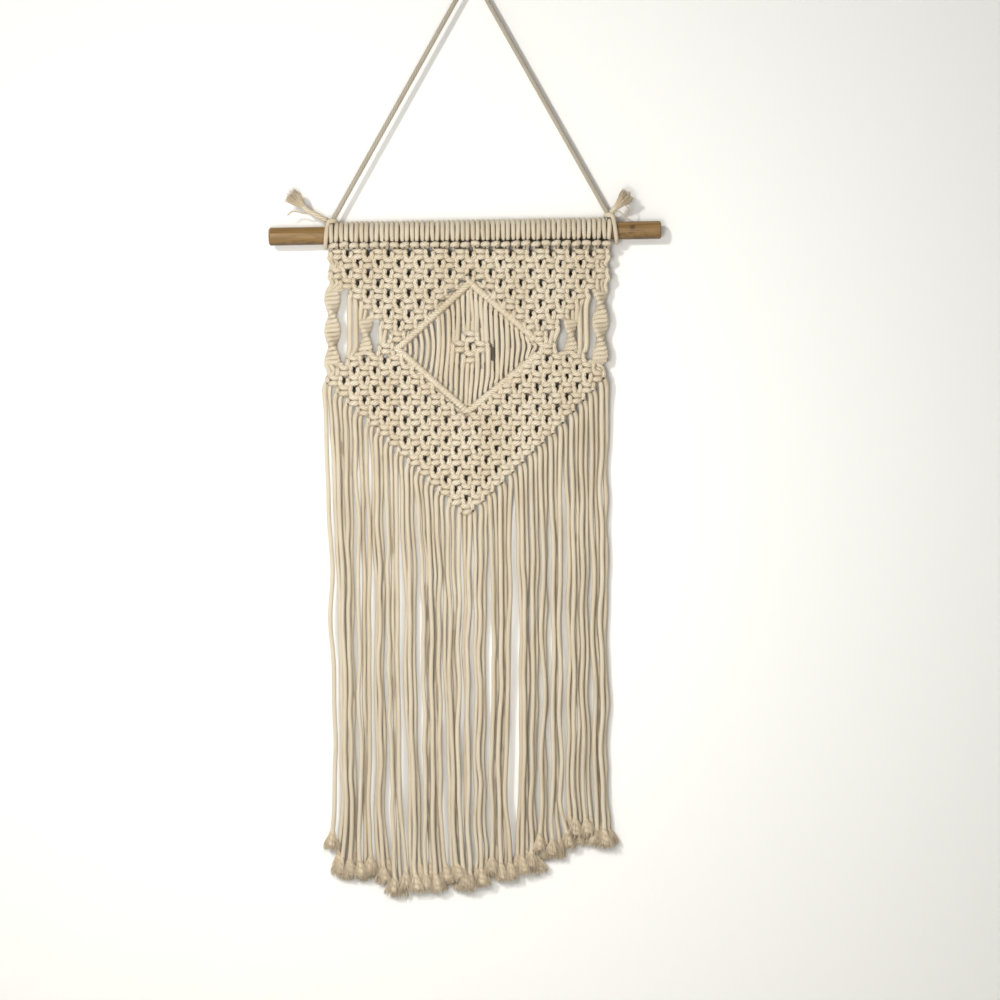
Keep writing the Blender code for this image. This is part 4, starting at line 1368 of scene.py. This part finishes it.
def hitch_line(name):
    """One turn round the dowel, a half hitch round the hanger and the short end, as one cord."""
    out = -1 if name == "hitch_left" else 1
    foot_x = LEG_FOOT_X[out > 0]
    axis = dowel_z(foot_x)
    top_x, low_x = HITCH_TURN[name]
    rows = [(foot_x, 0.0, axis + 12.6, HANGER_RADIUS),
            (foot_x + out * 0.8, 4.6, axis + 10.4, HITCH_CORD)]
    for turn in range(2, 8):
        angle = math.radians(45 * turn)
        x = top_x + (low_x - top_x) * (1 - math.cos(angle)) / 2
        rows.append((x, HITCH_WRAP * math.sin(angle),
                     dowel_z(x) + HITCH_WRAP * math.cos(angle), HITCH_CORD))
    top = axis + HITCH_RISE[name]
    rows += [(foot_x + out * 2.6, -5.8, top - 0.4, 2.0), (foot_x, -5.2, top + 0.3, TAIL_RADIUS),
             (foot_x - out * 2.2, -2.2, top + 0.5, 1.85),
             (foot_x - out * 1.8, 1.6, top + 0.6, HITCH_CORD),
             (foot_x + out * 1.8, 2.6, top + 0.9, HITCH_CORD)]
    tail = [(*row, TAIL_RADIUS) for row in TAILS[name]]
    return smooth_line(rows + tail, 1.2)


print("short ends:", list(TAILS))

# %% Hitches
for name in HITCH_TURN:
    line = hitch_line(name)
    belongs(lay_cords(name + "_cord", [line], cotton_cord), name)
    chance = random.Random(name)
    start = Vector(line[-1][:3])
    direction = start - Vector(line[-4][:3])
    fibres, _ = tuft_lines(start, direction, TAIL_TUFT, TAIL_WIDTH, TAIL_FIBRES, chance)
    for wisp in WISPS[name]:
        fibres.append(smooth_line([(*row, WISP_RADIUS) for row in wisp], 1.0))
    belongs(lay_cords(name + "_tuft", fibres, frayed_cotton, sides=4), name)

# %% [markdown]
# ## Painted shade between the cords
# The hollows between cords are painted dark brown for the shade that falls there, while the ridges
# keep their colour. Where cords run side by side, as in the header, the fringe and the ribs of the
# diamond, the grooves get more painted shade. In the fringe and the diamond they are open too, and
# never go quite black. So some pieces have a factor of their own, and some an upper limit.

# %% How much painted shade each piece gets
GROOVED = {"header_cords": 1.45, "fringe_left_cords": 1.2, "fringe_right_cords": 1.2}
DEEPEST = {"fringe_left_cords": 0.57, "fringe_right_cords": 0.57, "diamond_cords": 0.66}
RIB_GROOVED = 2.4
FLOWER_REACH = 16.5
DIAMOND_MIDDLE, DIAMOND_HALF = (-0.6, -282.0), (56.6, 49.0)
RIBS_WITHIN = 0.9


def groove_raise(piece):
    """For each point of a piece, how much more painted shade its grooves get."""
    places = np.zeros(len(piece.data.vertices) * 3, np.float32)
    piece.data.vertices.foreach_get("co", places)
    x, _, z = places.reshape(-1, 3).T / MM
    raised = np.full(len(x), GROOVED.get(piece.name, 1.0))
    if piece.name == "diamond_cords":
        across = (abs(x - DIAMOND_MIDDLE[0]) / DIAMOND_HALF[0]
                  + abs(z - DIAMOND_MIDDLE[1]) / DIAMOND_HALF[1])
        beside_flower = np.hypot(x - FLOWER[0], z - FLOWER[1]) > FLOWER_REACH
        raised[(across < RIBS_WITHIN) & beside_flower] = RIB_GROOVED
    return raised


print("raised grooves:", GROOVED, "and ribs", RIB_GROOVED)

# %% [markdown]
# Each point of a cord looks out in a few directions. The more often another cord stands close by,
# the deeper the point lies. A cord that all but touches counts for less, so that tight creases,
# which the render shades anyway, are not painted too dark. The Ambient Occlusion node does much the
# same at render time, but it would count the wall and make the tight creases darkest. Here the
# number is worked out once and kept on the mesh as an attribute, which the cotton finish paints as
# shade.

# %% Directions to look in
LOOKS = 20


def even_directions(count):
    """Directions spread evenly over a sphere."""
    rows = []
    for number in range(count):
        up = 1 - (2 * number + 1) / count
        turn = number * math.pi * (3 - math.sqrt(5))
        flat = math.sqrt(1 - up * up)
        rows.append((flat * math.cos(turn), flat * math.sin(turn), up))
    return rows


print("directions:", len(even_directions(LOOKS)))

# %% How deep each point lies
REACH = 16.0
GRAZING, OFF_SURFACE = 0.1, 0.05
CREASE, CREASE_REACH = 0.50, 0.007


def mark_crevices(pieces):
    """Store on every point how closely other cords stand in front of it, from 0 to 1."""
    joined = bmesh.new()
    for piece in pieces:
        joined.from_mesh(piece.data)
    tree = BVHTree.FromBMesh(joined)
    joined.free()
    rays = even_directions(LOOKS)
    looks = [Vector(ray) for ray in rays]
    reach = REACH * MM
    for piece in pieces:
        vertices = piece.data.vertices
        normals = np.zeros(len(vertices) * 3, np.float32)
        piece.data.vertex_normals.foreach_get("vector", normals)
        facing = normals.reshape(-1, 3) @ np.array(rays, np.float32).T
        depth = np.zeros(len(vertices), np.float32)
        for number, (vertex, row) in enumerate(zip(vertices, facing.tolist())):
            start = vertex.co + vertex.normal * (OFF_SURFACE * MM)
            seen = shut = 0.0
            for look, share in zip(looks, row):
                if share > GRAZING:
                    seen += share
                    far = tree.ray_cast(start, look, reach)[3]
                    if far is not None:
                        shut += share * min(1 - far / reach, CREASE + far / CREASE_REACH)
            depth[number] = shut / seen
        depth = np.minimum(depth * groove_raise(piece), DEEPEST.get(piece.name, 1.0))
        # The crevice number kept here sets how much painted shade each point gets.
        piece.data.attributes.new("crevice", "FLOAT", "POINT").data.foreach_set(
            "value", depth.astype(np.float32))
        print(piece.name, "mean crevice", round(float(depth.mean()), 2))


mark_crevices([o for o in bpy.data.objects if o.type == "MESH" and "tone" in o.data.attributes])
